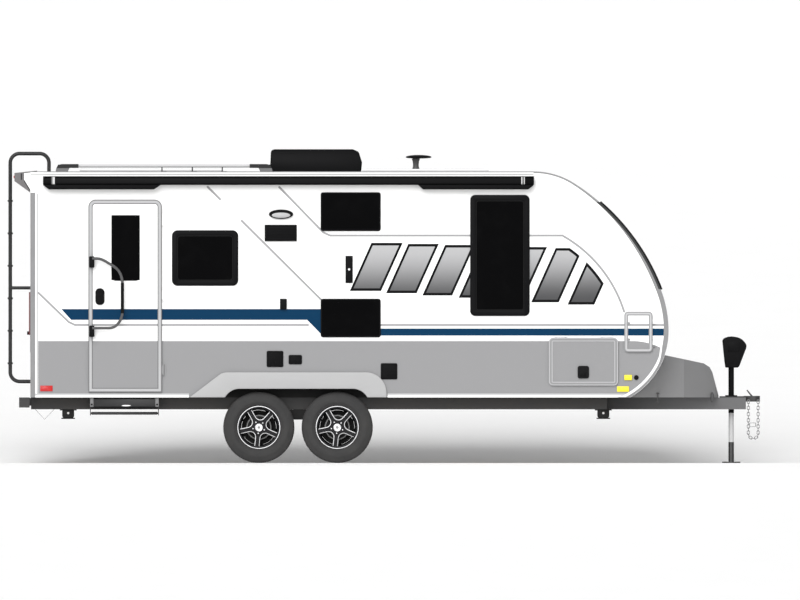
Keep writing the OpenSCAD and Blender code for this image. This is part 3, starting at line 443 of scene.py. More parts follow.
# Painted highlight: the grey ring round the rim of the drum's face.
two_finishes(drum, drum_iron, cap_grey_and_drum_highlight,
             lambda middle, face: middle.y < -hub_y + 0.0305 and 0.109 < radius_of(middle) < 0.1236)

for part in (spoke, nuts):
    only(part)
    bpy.ops.transform.rotate(value=-parked, orient_axis="Y", center_override=axle_end)
    settle(part)
bpy.ops.object.select_all(action="DESELECT")
for part in (spoke, cap, nuts, drum, wheel):
    part.select_set(True)
bpy.context.view_layer.objects.active = wheel
bpy.ops.object.join()
four_of(wheel, "alloy_wheel", "wheel")


# Wheel boxes: thin moulded tubs that close the body over each pair of wheels.
# Black polythene with a coarse grain, fixed under the floor and dusty inside.
tub_plastic = coated("tub_plastic", (0.012, 0.012, 0.012), 0.68, 150, 0.0012, dust=0.3, specular=0.15)
paint(tub_plastic, "wheel_wells")


# Floor and bed base: birch plywood sheets, sealed with a thin matt varnish.
# The floor lies on the chassis and the bed base stands on it, across the front of the body.
plywood, shader, place = finish("plywood", (0.46, 0.31, 0.17), 0.55)
grain = noise(place.scaled(1.2, 14, 30), 3.0, 6.0)
plies = ripple(place.along(2), 160)
feed(shader, Base_Color=over(grain, (0.36, 0.23, 0.12), (0.55, 0.39, 0.23)), Roughness=0.45 + grain * 0.25,
     Normal=bumped(grain + plies * 0.2, 0.0008, 0.3))
paint(plywood, "floor", "storage_bulkhead")


# Side walls and entry door: bonded panels with a glossy white gelcoat skin and a pale lining indoors.
# The grey lower band, the navy stripe, the pin-lines and the row of slanted bars are vinyl films on the outer skin.
# The doors and hinges carry the same films, and the doors' raised band is silver with a darker line along both edges.
white = (0.8, 0.8, 0.795)
film_grey = (0.23, 0.23, 0.234)
film_navy = (0.0004, 0.026, 0.068)
band_silver = (0.4, 0.4, 0.405)
band_line = (0.15, 0.15, 0.152)
lining = (0.62, 0.6, 0.56)
# Just under the outer faces of the wall, a door's lip, its leaf and its raised band.
wall_y, lip_y, leaf_y, band_y = 1.2145, 1.2165, 1.2285, 1.2315
# A door's outline: its middle along and up, its width and height, and the radius of its corners.
entry = (-2.5005, 1.612, 0.709, 1.858, 0.07)
hatch = (2.453, 1.2655, 0.272, 0.389, 0.036)
wall_paint, shader, place = finish("wall_paint", white, 0.2, specular=0.04)
x, y, z = map(place.along, range(3))


def between(value, low, high):
    return (value > low) * (value < high)


def either(*masks):
    whole = masks[0]
    for mask in masks[1:]:
        whole = whole.maths("MAXIMUM", whole, mask)
    return whole


def distance(x, z, middle_x, middle_z):
    """How far a point of the side view lies from a middle."""
    return x.maths("SQRT", (x - middle_x) * (x - middle_x) + (z - middle_z) * (z - middle_z))


def stroke(start, end):
    """A straight pin-line with round ends between two points of the side view."""
    length = hypot(end[0] - start[0], end[1] - start[1])
    ux, uz = (end[0] - start[0]) / length, (end[1] - start[1]) / length
    along = (x - start[0]) * ux + (z - start[1]) * uz
    across = (z - start[1]) * ux - (x - start[0]) * uz
    past = along - along.node("ShaderNodeClamp", {}, {0: along, 1: 0.0, 2: length})
    return (across * across + past * past) < (pin_width / 2) ** 2


def depth_in(x, z, outline, square_foot=False):
    """How far a point of the side view lies inside a door's outline."""
    middle_x, middle_z, width, height, radius = outline
    aside = abs(x - middle_x) - (width / 2 - radius)
    up = (z - middle_z if square_foot else abs(z - middle_z)) - (height / 2 - radius)
    past_x, past_z = aside.maths("MAXIMUM", aside, 0.0), up.maths("MAXIMUM", up, 0.0)
    within = up.maths("MINIMUM", up.maths("MAXIMUM", aside, up), 0.0)
    depth = radius - within - up.maths("SQRT", past_x * past_x + past_z * past_z)
    return up.maths("MINIMUM", depth, z - (middle_z - height / 2)) if square_foot else depth


front = (x - 2.4).maths("MAXIMUM", x - 2.4, 0.0)
grey_band = (z < 1.177 - front * front * 0.9) * (x > -3.34)
slope = x + z * 0.984
rear_low, rear_top = 1.381, 1.486
front_low, front_top = 1.229, 1.298
navy = either(between(z, rear_low, rear_top) * (slope < 0.902) * (x > -3.021 - (z - rear_low) * 0.914),
              between(z, front_low, rear_low + 0.0005) * between(slope, 0.614, 0.902),
              between(z, front_low, front_top) * (slope > 0.9))
long_arc = distance(x, z, 1.094, 1.079)
pin_width = 0.021
pin_runs = [[(-3.338, 1.643), (-3.045, 1.361), (-2.985, 1.332), (-0.736, 1.332)], [(-0.38, 1.332), (2.72, 1.332)],
            [(-1.704, 2.664), (-1.585, 2.546)], [(-1.376, 2.338), (-0.614, 1.581)],
            [(-1.012, 2.661), (-0.588, 2.225), (-0.522, 2.195), (1.722, 2.195)]]
strokes = [stroke(start, end) for run in pin_runs for start, end in zip(run, run[1:])]
pin_lines = either(*strokes, between(long_arc, 1.2685, 1.2895) * (x > 1.722) * (z > 1.453),
                   between(x, -3.35, -3.342) * (z < 2.6))
chin = distance(x, z, 2.008, 1.2756)
chin_line = (chin > 0.699 - smooth(z, 0.98, 1.1) * 0.02) * (x > 2.2) * (z < 1.13)
# The row of slanted bars: count numbers them from the rear, and slant goes from 0 to 1 over each one's share.
bar_pitch = 0.36
lean = x - z * 0.45 + 1.08
count = x.maths("FLOOR", lean * (1 / bar_pitch))
slant = x.maths("FRACT", lean * (1 / bar_pitch))
duty = 0.84 - count * 0.02
bar_low, bar_top = 1.66 - count * 0.022, 2.125 - count * 0.01
bars = between(count, -0.5, 6.5) * between(z, bar_low, bar_top) * (slant < duty) * either(long_arc < 1.215, x < 1.1)
core = (bars * between(slant, 0.07, duty - 0.07) * between(z, bar_low + 0.026, bar_top - 0.026)
        * either(long_arc < 1.188, x < 1.1))
silver = over(smooth(z, 1.56, 2.1), (0.06, 0.06, 0.062), (0.36, 0.36, 0.365))
skin = over(grey_band, white, film_grey)
skin = over(pin_lines, skin, (0.28, 0.28, 0.284))
skin = over(navy, skin, film_navy)
skin = over(chin_line, skin, white)
skin = over(core, over(bars, skin, (0.004, 0.004, 0.0045)), silver)
entry_depth = depth_in(x, z, entry, True)
hatch_depth = depth_in(x, z, hatch)
on_door = either(entry_depth > -0.002, hatch_depth > -0.002)
door_band = (abs(y) > band_y) * on_door
entry_band = over(entry_depth < 0.009, (0.37, 0.37, 0.375), band_line)
hatch_band = over(either(hatch_depth < 0.01, hatch_depth > 0.026), band_silver, film_grey)
skin = over(door_band, skin, over(x > 0, entry_band, hatch_band))
on_leaf = y < -leaf_y
skin = over(on_leaf * between(entry_depth, 0.033, 0.042), skin, band_line)
pane_border = on_leaf * between(x, -2.633, -2.359) * between(z, 1.764, 2.392)
skin = over(pane_border, skin, (0.002, 0.002, 0.002))
skin = over(on_door * between(abs(y), lip_y, leaf_y), skin, band_silver)
outside = abs(y) > wall_y
cloudy = noise(place, 1.7, 4.0)
peel = noise(place, 130, 2.0)
feed(shader, Base_Color=over(outside, lining, skin), Roughness=0.17 + cloudy * 0.1 + (1 - outside) * 0.35,
     Normal=bumped(peel, 0.0004, 0.12))
paint(wall_paint, "wall_right", "wall_left", "entry_door", "hatch_door", "door_hinges")


# Roof, front, rear wall and foot strips: moulded glass fibre in white gelcoat.
# They close the body between the side walls. The roof has a matt membrane, and the strips a pale grey upper edge.
gelcoat, shader, place = finish("white_gelcoat", white, 0.22, specular=0.15)
cloudy = noise(place, 1.4, 4.0)
peel = noise(place, 120, 2.0)
streaks = noise(place.scaled(9, 9, 0.5), 1.0, 4.0)
feed(shader, Base_Color=over(streaks, (0.77, 0.77, 0.76), (0.82, 0.82, 0.815)), Roughness=0.18 + cloudy * 0.12,
     Normal=bumped(peel, 0.0004, 0.12))
membrane = coated("roof_membrane", (0.74, 0.74, 0.73), 0.62, 300, 0.0006, tint=0.05)
paint(gelcoat, "front_cap", "rear_wall")
paint(membrane, "roof")
strip_white, shader, place = finish("strip_white", white, 0.3, specular=0.15)
top_edge = smooth(place.along(2), 0.649, 0.653)
scuffs = noise(place, 7, 5.0)
feed(shader, Base_Color=over(top_edge, white, (0.42, 0.42, 0.424)), Roughness=0.24 + scuffs * 0.14)
paint(strip_white, "skirt_trims")


# Rear spoiler: a hollow white moulding across the top of the rear wall, with a grey lamp housing along its tail.
# The housing and the sloping panel under it are moulded in grey, with a dark joint line between them.
spoiler_shell, shader, place = finish("spoiler_shell", white, 0.25, specular=0.15)
x, z = place.along(0), place.along(2)
slope = z - 2.736 + (x + 3.475) * 1.643
housing = either(x < -3.475, slope < 0, z > 2.8085 - abs(x + 3.35) * 0.095)
joint = either(between(x, -3.508, -3.494) * between(z, 2.732, 2.795), between(slope, -0.022, 0) * (x > -3.475))
weather = noise(place, 5, 4.0)
grey_shell = over(weather, (0.105, 0.1, 0.102), (0.14, 0.135, 0.137))
feed(shader, Base_Color=over(joint, over(housing, (0.78, 0.78, 0.775), grey_shell), (0.02, 0.02, 0.021)),
     Roughness=0.2 + weather * 0.15, Normal=bumped(noise(place, 120, 2.0), 0.0004, 0.12))
paint(spoiler_shell, "rear_spoiler")


# Edge mouldings: aluminium angle over the joints of the side walls, screwed on under a vinyl insert.
# They are white over the roof with a grey line along the edge, and grey at the rear edge, the nose and the chin.
# Beside the front window their outer edge is black.
trim_metal, shader, place = finish("trim_metal", (0.3, 0.3, 0.305), 0.4, specular=0.3)
x, z = place.along(0), place.along(2)
roof_z = 2.808
nose_x = 1.4412
# The arcs of the nose in the side view: middle, radius, first and last angle.
arcs = [((nose_x, 2.083), 0.725, 90, 57.48), ((0.702, 0.9236), 2.1, 57.48, 20.61), ((1.638, 1.2756), 1.1, 20.61, 0),
        ((2.008, 1.2756), 0.73, 0, -61)]
depth = (x < nose_x) * (roof_z - z)
for (centre_x, centre_z), radius, first, last in arcs:
    past_roof = 0.004 if first == 90 else 0
    top = centre_z + radius * sin(radians(first)) + past_roof
    within = (x > nose_x) * between(z, centre_z + radius * sin(radians(last)), top)
    depth = depth + within * (radius - distance(x, z, centre_x, centre_z))
bare = 0.01 + (1 - smooth(z, 1.7, 2.85)) * 0.03 - (1 - smooth(z, 0.95, 1.15)) * 0.024
roof_line = either(depth < 0.003, between(depth, 0.02, 0.026))
grey = either((x > nose_x) * (depth < bare), (x < nose_x) * (z > 2.7) * roof_line, (x < -3.3) * (z < 2.609))
brushed = noise(place.scaled(3, 160, 3), 2.0, 4.0)
metal = over(grey, (0.78, 0.78, 0.775), over(brushed, (0.165, 0.165, 0.168), (0.21, 0.21, 0.213)))
window_side = (x > nose_x) * (depth < 0.014) * between(z, 1.677, 2.519)
feed(shader, Base_Color=over(window_side, metal, (0.012, 0.012, 0.0125)), Roughness=0.32 + brushed * 0.18)
paint(trim_metal, "edge_trims")


# Window frames and glass: black clamp frames, with dark tinted acrylic panes set a little back in them.
# The panes of the side windows are bedded in a round rubber seal.
def tube(name, points, radius, material, roundness=3, body="caravan"):
    """A round bar along a run of points."""
    piece = trace(name, points)
    mode("OBJECT")
    only(piece)
    bpy.ops.object.convert(target="CURVE")
    piece = bpy.context.object
    piece.data.bevel_depth = radius
    piece.data.bevel_resolution = roundness
    piece.data.use_fill_caps = True
    bpy.ops.object.convert(target="MESH")
    piece = bpy.context.object
    piece.name = name
    mode("EDIT")
    weld()
    bpy.ops.mesh.normals_make_consistent(inside=False)
    close(piece, material)
    fit(piece, body)
    return piece


def soften(name, width, material, segments=2):
    """The CAD node's own shape with rounded edges, in place of the node."""
    only(nodes[name])
    bpy.ops.object.duplicate()
    piece = bpy.context.object
    piece.name = f"{name}_rounded"
    body = piece["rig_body"]
    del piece["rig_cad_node"]
    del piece["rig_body"]
    piece.parent = None
    settle(piece)
    mode("EDIT")
    weld()
    bpy.ops.mesh.dissolve_limited(angle_limit=radians(1))
    mode("OBJECT")
    bpy.ops.object.modifier_add(type="BEVEL")
    rounding = piece.modifiers[-1]
    rounding.width = width
    rounding.segments = segments
    rounding.limit_method = "ANGLE"
    rounding.angle_limit = radians(28)
    bpy.ops.object.modifier_apply(modifier=rounding.name)
    close(piece, material, angle=40)
    fit(piece, body, name)


frame_black = coated("window_frame_black", (0.004, 0.004, 0.0045), 0.45, 420, 0.0003, specular=0.05)
tinted, shader, place = finish("tinted_acrylic", (0.0015, 0.0015, 0.0017), 0.06, specular=0.012)
waves = noise(place, 0.9, 2.0)
smears = smooth(noise(place, 5, 5.0), 0.45, 0.8)
feed(shader, Base_Color=over(smears, (0.001, 0.001, 0.0012), (0.002, 0.002, 0.0022)), Roughness=0.04 + smears * 0.06,
     Normal=bumped(waves, 0.004, 0.08))
soften("window_frames", 0.004, frame_black)
paint(tinted, "window_glass", "door_glass")
seal_rubber = coated("seal_rubber", (0.008, 0.008, 0.008), 0.6, 400, 0.0003, specular=0.12)


def ring(outline, y_at, smaller=0.0, tighter=0.0):
    """Points round an outline with round corners, in a side view, or round one a little smaller and tighter."""
    middle_x, middle_z, width, height, radius = outline
    half_x, half_z, radius = (width - smaller) / 2, (height - smaller) / 2, radius - tighter
    points = []
    for sx, sz, first in ((1, 1, 0), (-1, 1, 90), (-1, -1, 180), (1, -1, 270)):
        for step in range(7):
            angle = radians(first + 15 * step)
            points.append((middle_x + sx * (half_x - radius) + radius * cos(angle), y_at,
                           middle_z + sz * (half_z - radius) + radius * sin(angle)))
    return [*points, points[0]]


# Each pane: its side and its outline.
panes = [(-1, -1.729, 1.978, 0.536, 0.432, 0.029), (-1, 1.116, 2.003, 0.462, 1.057, 0.022),
         (1, -2.35, 1.978, 0.536, 0.432, 0.029), (1, -0.9, 1.978, 0.896, 0.432, 0.029),
         (1, 1.116, 2.003, 0.462, 0.688, 0.022)]
for count, (side, *pane) in enumerate(panes):
    tube(f"window_seal_{count}", ring(pane, side * 1.2232, 0.006), 0.0035, seal_rubber, 1)


# Entry door fittings: a rubber seal round the opening, a black paddle latch and a grab handle.
# The handle is a bent, painted tube with a foam grip, and stands on two feet on the door's band.
black_plastic = coated("black_plastic", (0.004, 0.004, 0.0044), 0.48, 320, 0.0005, specular=0.05)
powder_black = coated("powder_black", (0.018, 0.018, 0.0185), 0.4, 520, 0.0004, specular=0.25)
handle_paint = coated("handle_paint", (0.07, 0.07, 0.071), 0.45, 520, 0.0004, specular=0.2)
foam = coated("grip_foam", (0.005, 0.005, 0.005), 0.85, 260, 0.0012, specular=0.1)


def door_seal(name, outline, side):
    """A rubber bead on the wall, just inside a door's outline."""
    tube(name, ring(outline, side * 1.218, 0.019, 0.009), 0.0028, seal_rubber, 1)


door_seal("entry_seal", entry, -1)


def slab(name, low, high, edge, material, segments=2, body="caravan"):
    """A block between two corners with rounded edges."""
    bpy.ops.object.select_all(action="DESELECT")
    bpy.ops.mesh.primitive_cube_add(size=1, location=[(a + b) / 2 for a, b in zip(low, high)])
    piece = started(name, [abs(b - a) for a, b in zip(low, high)])
    pick(piece, "EDGE", lambda middle, part: True)
    bpy.ops.mesh.bevel(offset=edge, segments=segments)
    close(piece, material)
    fit(piece, body)
    return piece


soften("door_latch", 0.005, black_plastic, 3)
paddle = slab("latch_paddle", (-2.768, -1.2545, 1.612), (-2.72, -1.2455, 1.664), 0.004, black_plastic,
              body="entry_door_body")
mode("EDIT")
pick(paddle, "FACE", lambda middle, face: face.normal.y < -0.9)
bpy.ops.mesh.inset(thickness=0.005, depth=-0.002)
mode("OBJECT")


def fillet(points, radius, steps):
    """The same run of points with its corners rounded."""
    run = [Vector(p) for p in points]
    rounded = [run[0]]
    for before, corner, after in zip(run, run[1:], run[2:]):
        back, on = before - corner, after - corner
        start = corner + back.normalized() * min(radius, back.length * 0.45)
        end = corner + on.normalized() * min(radius, on.length * 0.45)
        for step in range(steps + 1):
            t = step / steps
            rounded.append(start * (1 - t) ** 2 + corner * 2 * t * (1 - t) + end * t * t)
    return [*rounded, run[-1]]


grab_y = -1.294
grab_run = [(-2.818, grab_y, 1.973), (-2.735, grab_y, 1.973), (-2.575, grab_y, 1.878), (-2.527, grab_y, 1.788),
            (-2.527, grab_y, 1.402), (-2.6, grab_y, 1.302), (-2.818, grab_y, 1.302)]
grab_tube = tube("grab_tube", fillet(grab_run, 0.06, 8), 0.0136, handle_paint, 5, "entry_door_body")
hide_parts("grab_handle")
tube("grab_grip", [(-2.527, grab_y, at_z) for at_z in (1.74, 1.734, 1.451, 1.445)], 0.0158, foam, 5,
     "entry_door_body")
for name, foot_z in (("grab_foot_top", 1.94), ("grab_foot_low", 1.272)):
    slab(name, (-2.847, -1.299, foot_z - 0.055), (-2.797, -1.234, foot_z + 0.055), 0.009, black_plastic,
         3, "entry_door_body")


# Luggage doors and front hatch: insulated leaves in the colour of the wall, with pale edge lines and black latches.
# The luggage doors are hinged at the top and have a pull, the hatch at its front edge, with two small locks.
luggage = (1.9225, 0.9785, 0.667, 0.461, 0.04)
sides = (("right", -1), ("left", 1))
luggage_paint, shader, place = finish("luggage_paint", film_grey, 0.22, specular=0.04)
x, y, z = map(place.along, range(3))
y_out = abs(y)
cloudy = noise(place, 2.2, 4.0)
edge_depth = depth_in(x, z, luggage)
edge_lines = (y_out > band_y) * (edge_depth > -0.002) * either(edge_depth < 0.009, edge_depth > 0.027)
panel = over(cloudy, (0.225, 0.225, 0.229), (0.235, 0.235, 0.239))
knuckle = over(between(z, front_low, front_top), white, film_navy)
panel = over(edge_lines, over(z > 1.212, panel, knuckle), (0.36, 0.36, 0.365))
panel = over((y_out > 1.2325) * (z < 0.96) * (edge_depth > 0.045), panel, (0.006, 0.006, 0.0065))
feed(shader, Base_Color=over(y_out < 1.215, panel, lining), Roughness=0.2 + cloudy * 0.14,
     Normal=bumped(noise(place, 140, 2.0), 0.0004, 0.12))
paint(luggage_paint, "baggage_door_right", "baggage_door_left")


def lock(name, at, side, body="caravan"):
    """A round key cylinder that stands a little proud of a cover, with its key slot."""
    cx, cy, cz = at
    section = [(0.0, 0.0), (0.0, 0.0105), (0.0028, 0.0105), (0.004, 0.009), (0.0034, 0.007), (0.0034, 0.0)]
    piece = turn(name, [(cx, cy + side * u, cz + r) for u, r in section], at, (0, 1, 0), 24)
    pick(piece, "FACE", lambda middle, face: abs(middle.x - cx) < 0.003 and side * (middle.y - cy) > 0.003
         and abs(middle.z - cz) < 0.006)
    bpy.ops.mesh.inset(thickness=0.0006, depth=-0.0015)
    close(piece, black_plastic)
    fit(piece, body)


lock("hatch_lock_top", (2.345, -1.2302, 1.345), -1, "hatch_body")
lock("hatch_lock_low", (2.345, -1.2302, 1.19), -1, "hatch_body")
for name, side in sides:
    slab(f"luggage_pull_{name}", (1.889, side * 1.24, 0.832), (1.953, side * 1.2428, 0.878), 0.0009, black_plastic,
         body=f"baggage_{name}_body")
    door_seal(f"luggage_seal_{name}", luggage, side)
door_seal("hatch_seal", hatch, -1)


# Entry step: one aluminium tread in a bracket under the door, powder-coated black.
# Three grit strips are glued to the tread, which swings right over from its stowed place.
# A pale pull is let into the front.
grit, shader, place = finish("grit_strip", (0.03, 0.03, 0.03), 0.9)
grains = noise(place, 900, 2.0)
feed(shader, Base_Color=over(grains, (0.015, 0.015, 0.015), (0.07, 0.07, 0.068)), Normal=bumped(grains, 0.0012, 0.8))
soften("entry_step", 0.0025, powder_black)
soften("step_frame", 0.002, powder_black)
for count, strip_y in enumerate((-1.135, -1.065, -0.995)):
    slab(f"step_grit_{count}", (-2.8, strip_y, 0.4674), (-2.214, strip_y + 0.04, 0.4696), 0.0006, grit,
         1, "step_body")
step_steel = coated("step_steel", (0.14, 0.14, 0.142), 0.45, 300, 0.0004, specular=0.3)
pale_pull = coated("pale_pull", (0.7, 0.7, 0.7), 0.4, 300, 0.0003, tint=0.05)


def stud(name, at, side, radius, height, material):
    """A round bolt head with a domed top, standing out sideways from a point."""
    cx, cy, cz = at
    section = [(0, 0), (0, radius), (height * 0.35, radius), (height * 0.75, radius * 0.8), (height, radius * 0.4),
               (height, 0)]
    piece = turn(name, [(cx, cy + side * u, cz + r) for u, r in section], at, (0, 1, 0), 24)
    close(piece, material, angle=60)
    fit(piece, "caravan")


for name, first in (("rear", -2.8385), ("front", -2.2085)):
    slab(f"step_bracket_{name}", (first, -1.1935, 0.542), (first + 0.033, -1.1875, 0.627), 0.002, step_steel)
    stud(f"step_bolt_{name}", (first + 0.016, -1.1932, 0.5645), -1, 0.009, 0.005, black_plastic)


def ball(name, at, size, segments, rings):
    """A ball squashed to a size. It is left in edit mode."""
    bpy.ops.object.select_all(action="DESELECT")
    bpy.ops.mesh.primitive_uv_sphere_add(segments=segments, ring_count=rings, radius=0.5, location=at)
    return started(name, size)


def dome(name, at, size, segments, back_y, material):
    """The outer part of a squashed ball, flat at the back, on the kerb side of the body."""
    piece = ball(name, at, size, segments, segments // 2)
    select_whole()
    bpy.ops.mesh.bisect(plane_co=(0, back_y, 0), plane_no=(0, 1, 0), clear_outer=True, use_fill=True)
    close(piece, material)
    fit(piece, "caravan")


dome("step_pull", (-2.49, -1.1885, 0.5535), (0.088, 0.01, 0.014), 32, -1.1875, pale_pull)


# Awning: a long extruded case bolted along the wall, with a folded arm under each end.
# Satin black aluminium, with the pale cloth just showing at the two joints near its ends.
awning_black, shader, place = finish("awning_black", (0.004, 0.004, 0.0045), 0.45, specular=0.05)
x, y, z = map(place.along, range(3))
rear_joint = smooth(x, -3.219, -3.182) * (x < -3.18)
front_joint = either(between(x, 1.323, 1.333), between(x, 1.346, 1.356) * 0.8)
cloth = either(rear_joint, front_joint) * between(z, 2.69, 2.762) * (y < -1.25)
hood = noise(place, 240, 2.0)
tone = over(between(x, -3.17, 1.32) * (z > 2.697), (0.0015, 0.0015, 0.0017), (0.004, 0.004, 0.0043))
feed(shader, Base_Color=over(cloth, tone, (0.55, 0.55, 0.55)), Roughness=0.3 + hood * 0.12 + cloth * 0.4,
     Normal=bumped(hood, 0.0004))
soften("awning_case", 0.007, awning_black, 3)
soften("awning_arms", 0.006, black_plastic)


# Roof gear: the cooler's shroud with its air slots, the rails on feet and studs, flat solar panels and a receiver.
# The shroud and the receiver's head are black mouldings, the rails aluminium tube with painted shade along their
# underside, and the panels cells under glass.
soften("roof_cooler", 0.022, black_plastic, 3)
for name, side in sides:
    slab(f"cooler_slot_{name}", (-1.004, side * 0.3135, 2.978), (-0.86, side * 0.3215, 2.996), 0.003, frame_black)
    rail_y = side * 1.06
    for count, stud_x in enumerate((-2.145, -1.852, -1.563)):
        tube(f"rail_stud_{name}_{count}", [(stud_x, rail_y, 2.8085), (stud_x, rail_y, 2.856)], 0.006, powder_black,
             2)
        slab(f"rail_plate_{name}_{count}", (stud_x - 0.01, rail_y - 0.02, roof_z),
             (stud_x + 0.045, rail_y + 0.02, roof_z + 0.008), 0.002, powder_black)
rail_metal, shader, place = finish("rail_metal", (0.5, 0.5, 0.51), 0.35, specular=0.1)
x, z = place.along(0), place.along(2)
bar = between(x, -2.951, -1.299)
leg = either(x < -3.03, x > -1.22) * (z < 2.845)
drawn = noise(place.scaled(2, 90, 90), 2.0, 4.0)
shell = over(leg, (0.02, 0.02, 0.0205), (0.14, 0.14, 0.142))
# Painted shade: the rail tube's underside, below z 2.857, is darkened to near black.
tube_tone_shaded_below = over(smooth(z, 2.857, 2.86), (0.03, 0.03, 0.031), over(drawn, (0.42, 0.42, 0.425), (0.48, 0.48, 0.485)))
feed(shader, Base_Color=over(bar, shell, tube_tone_shaded_below), Roughness=0.3 + drawn * 0.15)
paint(rail_metal, "roof_rails")
solar_glass, shader, place = finish("solar_glass", (0.006, 0.009, 0.03), 0.1, coat=1.0)
x, y, z = map(place.along, range(3))
cells_a_metre = 7.2
across_cells = either(ripple(x, cells_a_metre), ripple(y + 0.1 / cells_a_metre, cells_a_metre)) > 0.485
wires = either(across_cells, ripple(x, cells_a_metre * 5) > 0.475)
cells = over(wires, over(noise(place, 60, 3.0), (0.004, 0.006, 0.022), (0.009, 0.013, 0.04)), (0.16, 0.17, 0.19))
edging = over(between(z, 2.815, 2.826), (0.74, 0.74, 0.74), (0.3, 0.3, 0.303))
rim = z < 2.8365
feed(shader, Base_Color=over(rim, cells, edging), Roughness=0.08 + rim * 0.3)
paint(solar_glass, "solar_panels")
stem_x, stem_top = 0.305, 2.944
stem_section = [(0.0, roof_z), (0.049, roof_z), (0.046, 2.815), (0.036, 2.834), (0.0285, 2.86), (0.0275, 2.882),
                (0.0315, 2.912), (0.04, 2.936), (0.0, stem_top)]
stem = turn("receiver_stem", [(stem_x + r, 0, at_z) for r, at_z in stem_section], (stem_x, 0, 2.9), (0, 0, 1), 40)
close(stem, handle_paint)
fit(stem, "caravan")
head_x = 0.3315
head = ball("receiver_head", (head_x, 0, 2.9525), (0.25, 0.25, 0.041), 48, 24)
pick(head, "VERT", lambda middle, part: middle.z < stem_top)
bpy.ops.transform.resize(value=(1, 1, 0.55), center_override=(head_x, 0, stem_top))
close(head, black_plastic)
fit(head, "caravan", "antenna")


# Rear ladder: bent aluminium tubes hooked over the roof edge, with six rungs, powder-coated black.
# The stiles have a swaged collar at each rung, and short stand-offs hold them to the rear wall.
paint(powder_black, "ladder_stiles", "ladder_rungs")


# Lamps: tail lamps, clearance lamps and reflectors, in ribbed acrylic lenses.
# The lenses are glued to the walls, red at the rear and amber at the front. The tail lamps stand on a dull rim.
def lens_of(name, colour, across, rim=()):
    """A clear coloured finish with ribs across one axis, and dull between two places along the body."""
    made, shader, place = finish(name, colour, 0.12, specular=0.3)
    ribs = ripple(place.along(across), 140)
    depth = noise(place, 30, 3.0)
    tone = over(depth, [c * 0.75 for c in colour], [min(1, c * 1.2) for c in colour])
    if rim:
        tone = over(between(place.along(0), *rim), tone, (0.11, 0.055, 0.058))
    feed(shader, Base_Color=tone, Roughness=0.08 + depth * 0.1, Normal=bumped(ribs, 0.002, 0.5))
    return made


soften("red_lamps", 0.003, lens_of("red_lens", (0.42, 0.014, 0.014), 2, (-3.4276, -3.4)))
soften("amber_lamps", 0.003, lens_of("amber_lens", (0.72, 0.62, 0.035), 0))


# Porch light: a black oval bezel with a silver-white lens, over the wall beside the rear window.
# The bezel is moulded, and the lens is a shallow dome of clear ribbed acrylic over a reflector.
lens_silver, shader, place = finish("lens_silver", (0.5, 0.5, 0.51), 0.2, specular=0.3)
prisms = ripple(place.along(0), 90)
feed(shader, Base_Color=over(prisms, (0.33, 0.33, 0.334), (0.43, 0.43, 0.434)), Normal=bumped(prisms, 0.003, 0.5))
soften("porch_light", 0.008, black_plastic, 3)
dome("porch_lens", (-0.996, -1.243, 2.391), (0.182, 0.022, 0.054), 40, -1.238, lens_silver)


# Covers, vents and sockets on the walls: small black mouldings, each screwed or clipped into a cut-out.
# The covers have a raised rim and a key cylinder, the vent has a row of slats and the bracket a pale bolt.
soften("service_hatches", 0.004, black_plastic, 3)
soften("wall_fittings", 0.004, black_plastic, 3)
# Each cover: its side, its middle along and up, its width and height.
covers = [(-1, -1.0545, 1.004, 0.161, 0.156), (-1, -0.8585, 0.9975, 0.129, 0.091), (-1, 0.046, 0.885, 0.16, 0.156),
          (1, -2.475, 1.0, 0.45, 0.4), (1, 0.4, 1.15, 0.5, 0.5), (1, 0.4, 2.2, 0.5, 0.3), (1, -0.15, 1.05, 0.3, 0.2)]
for count, (side, cx, cz, width, height) in enumerate(covers):
    tube(f"cover_rim_{count}", ring((cx, cz, width, height, 0.012), side * 1.2248, 0.03), 0.0022, black_plastic,
         1)
    lock(f"cover_lock_{count}", (cx, side * 1.225, cz - height * 0.28), side)
for count in range(6):
    slat_z = 2.158 + count * 0.0245
    slab(f"vent_slat_{count}", (-1.138, -1.2375, slat_z), (-0.86, -1.232, slat_z + 0.012), 0.0022, black_plastic,
         1)
stud("bracket_bolt", (-0.339, -1.2268, 1.868), -1, 0.011, 0.005, pale_pull)


# Wheel-arch panels: light grey mouldings over the two wheel openings, with a rolled edge.
# They are clipped to the wall and sealed along the top.
arch_grey = coated("arch_grey", (0.33, 0.33, 0.332), 0.34, 320, 0.0004, tint=0.04, specular=0.15)
soften("fender_skirts", 0.007, arch_grey, 3)


# Gas locker: a one-piece moulded cover on the tongue, over its tray, in mid grey with a fine grain.
# It hugs the front of the body and stands on the two beams of the tongue.
locker_grey = coated("locker_grey", (0.185, 0.185, 0.187), 0.4, 420, 0.0006, tint=0.06, specular=0.2)
soften("gas_locker", 0.004, locker_grey, 3)


# Tongue jack: a moulded motor head on a steel tube, with a bright drop leg and a foot plate.
# The head is black polymer with a raised panel on each side, and the leg is zinc plated over a black sleeve.
zinc, shader, place = finish("zinc_plate", (0.42, 0.42, 0.43), 0.4, specular=0.4)
sleeve = place.along(2) < 0.2025
plating = noise(place, 40, 4.0)
feed(shader, Base_Color=over(sleeve, over(plating, (0.38, 0.38, 0.384), (0.48, 0.48, 0.484)), chassis_black),
     Roughness=0.3 + plating * 0.2)
soften("jack_head", 0.012, black_plastic, 4)
paint(black_plastic, "jack_post")
soften("jack_leg", 0.002, zinc)
for name, side in sides:
    slab(f"jack_panel_{name}", (3.315, side * 0.0735, 1.07), (3.435, side * 0.0785, 1.17), 0.0022, black_plastic)


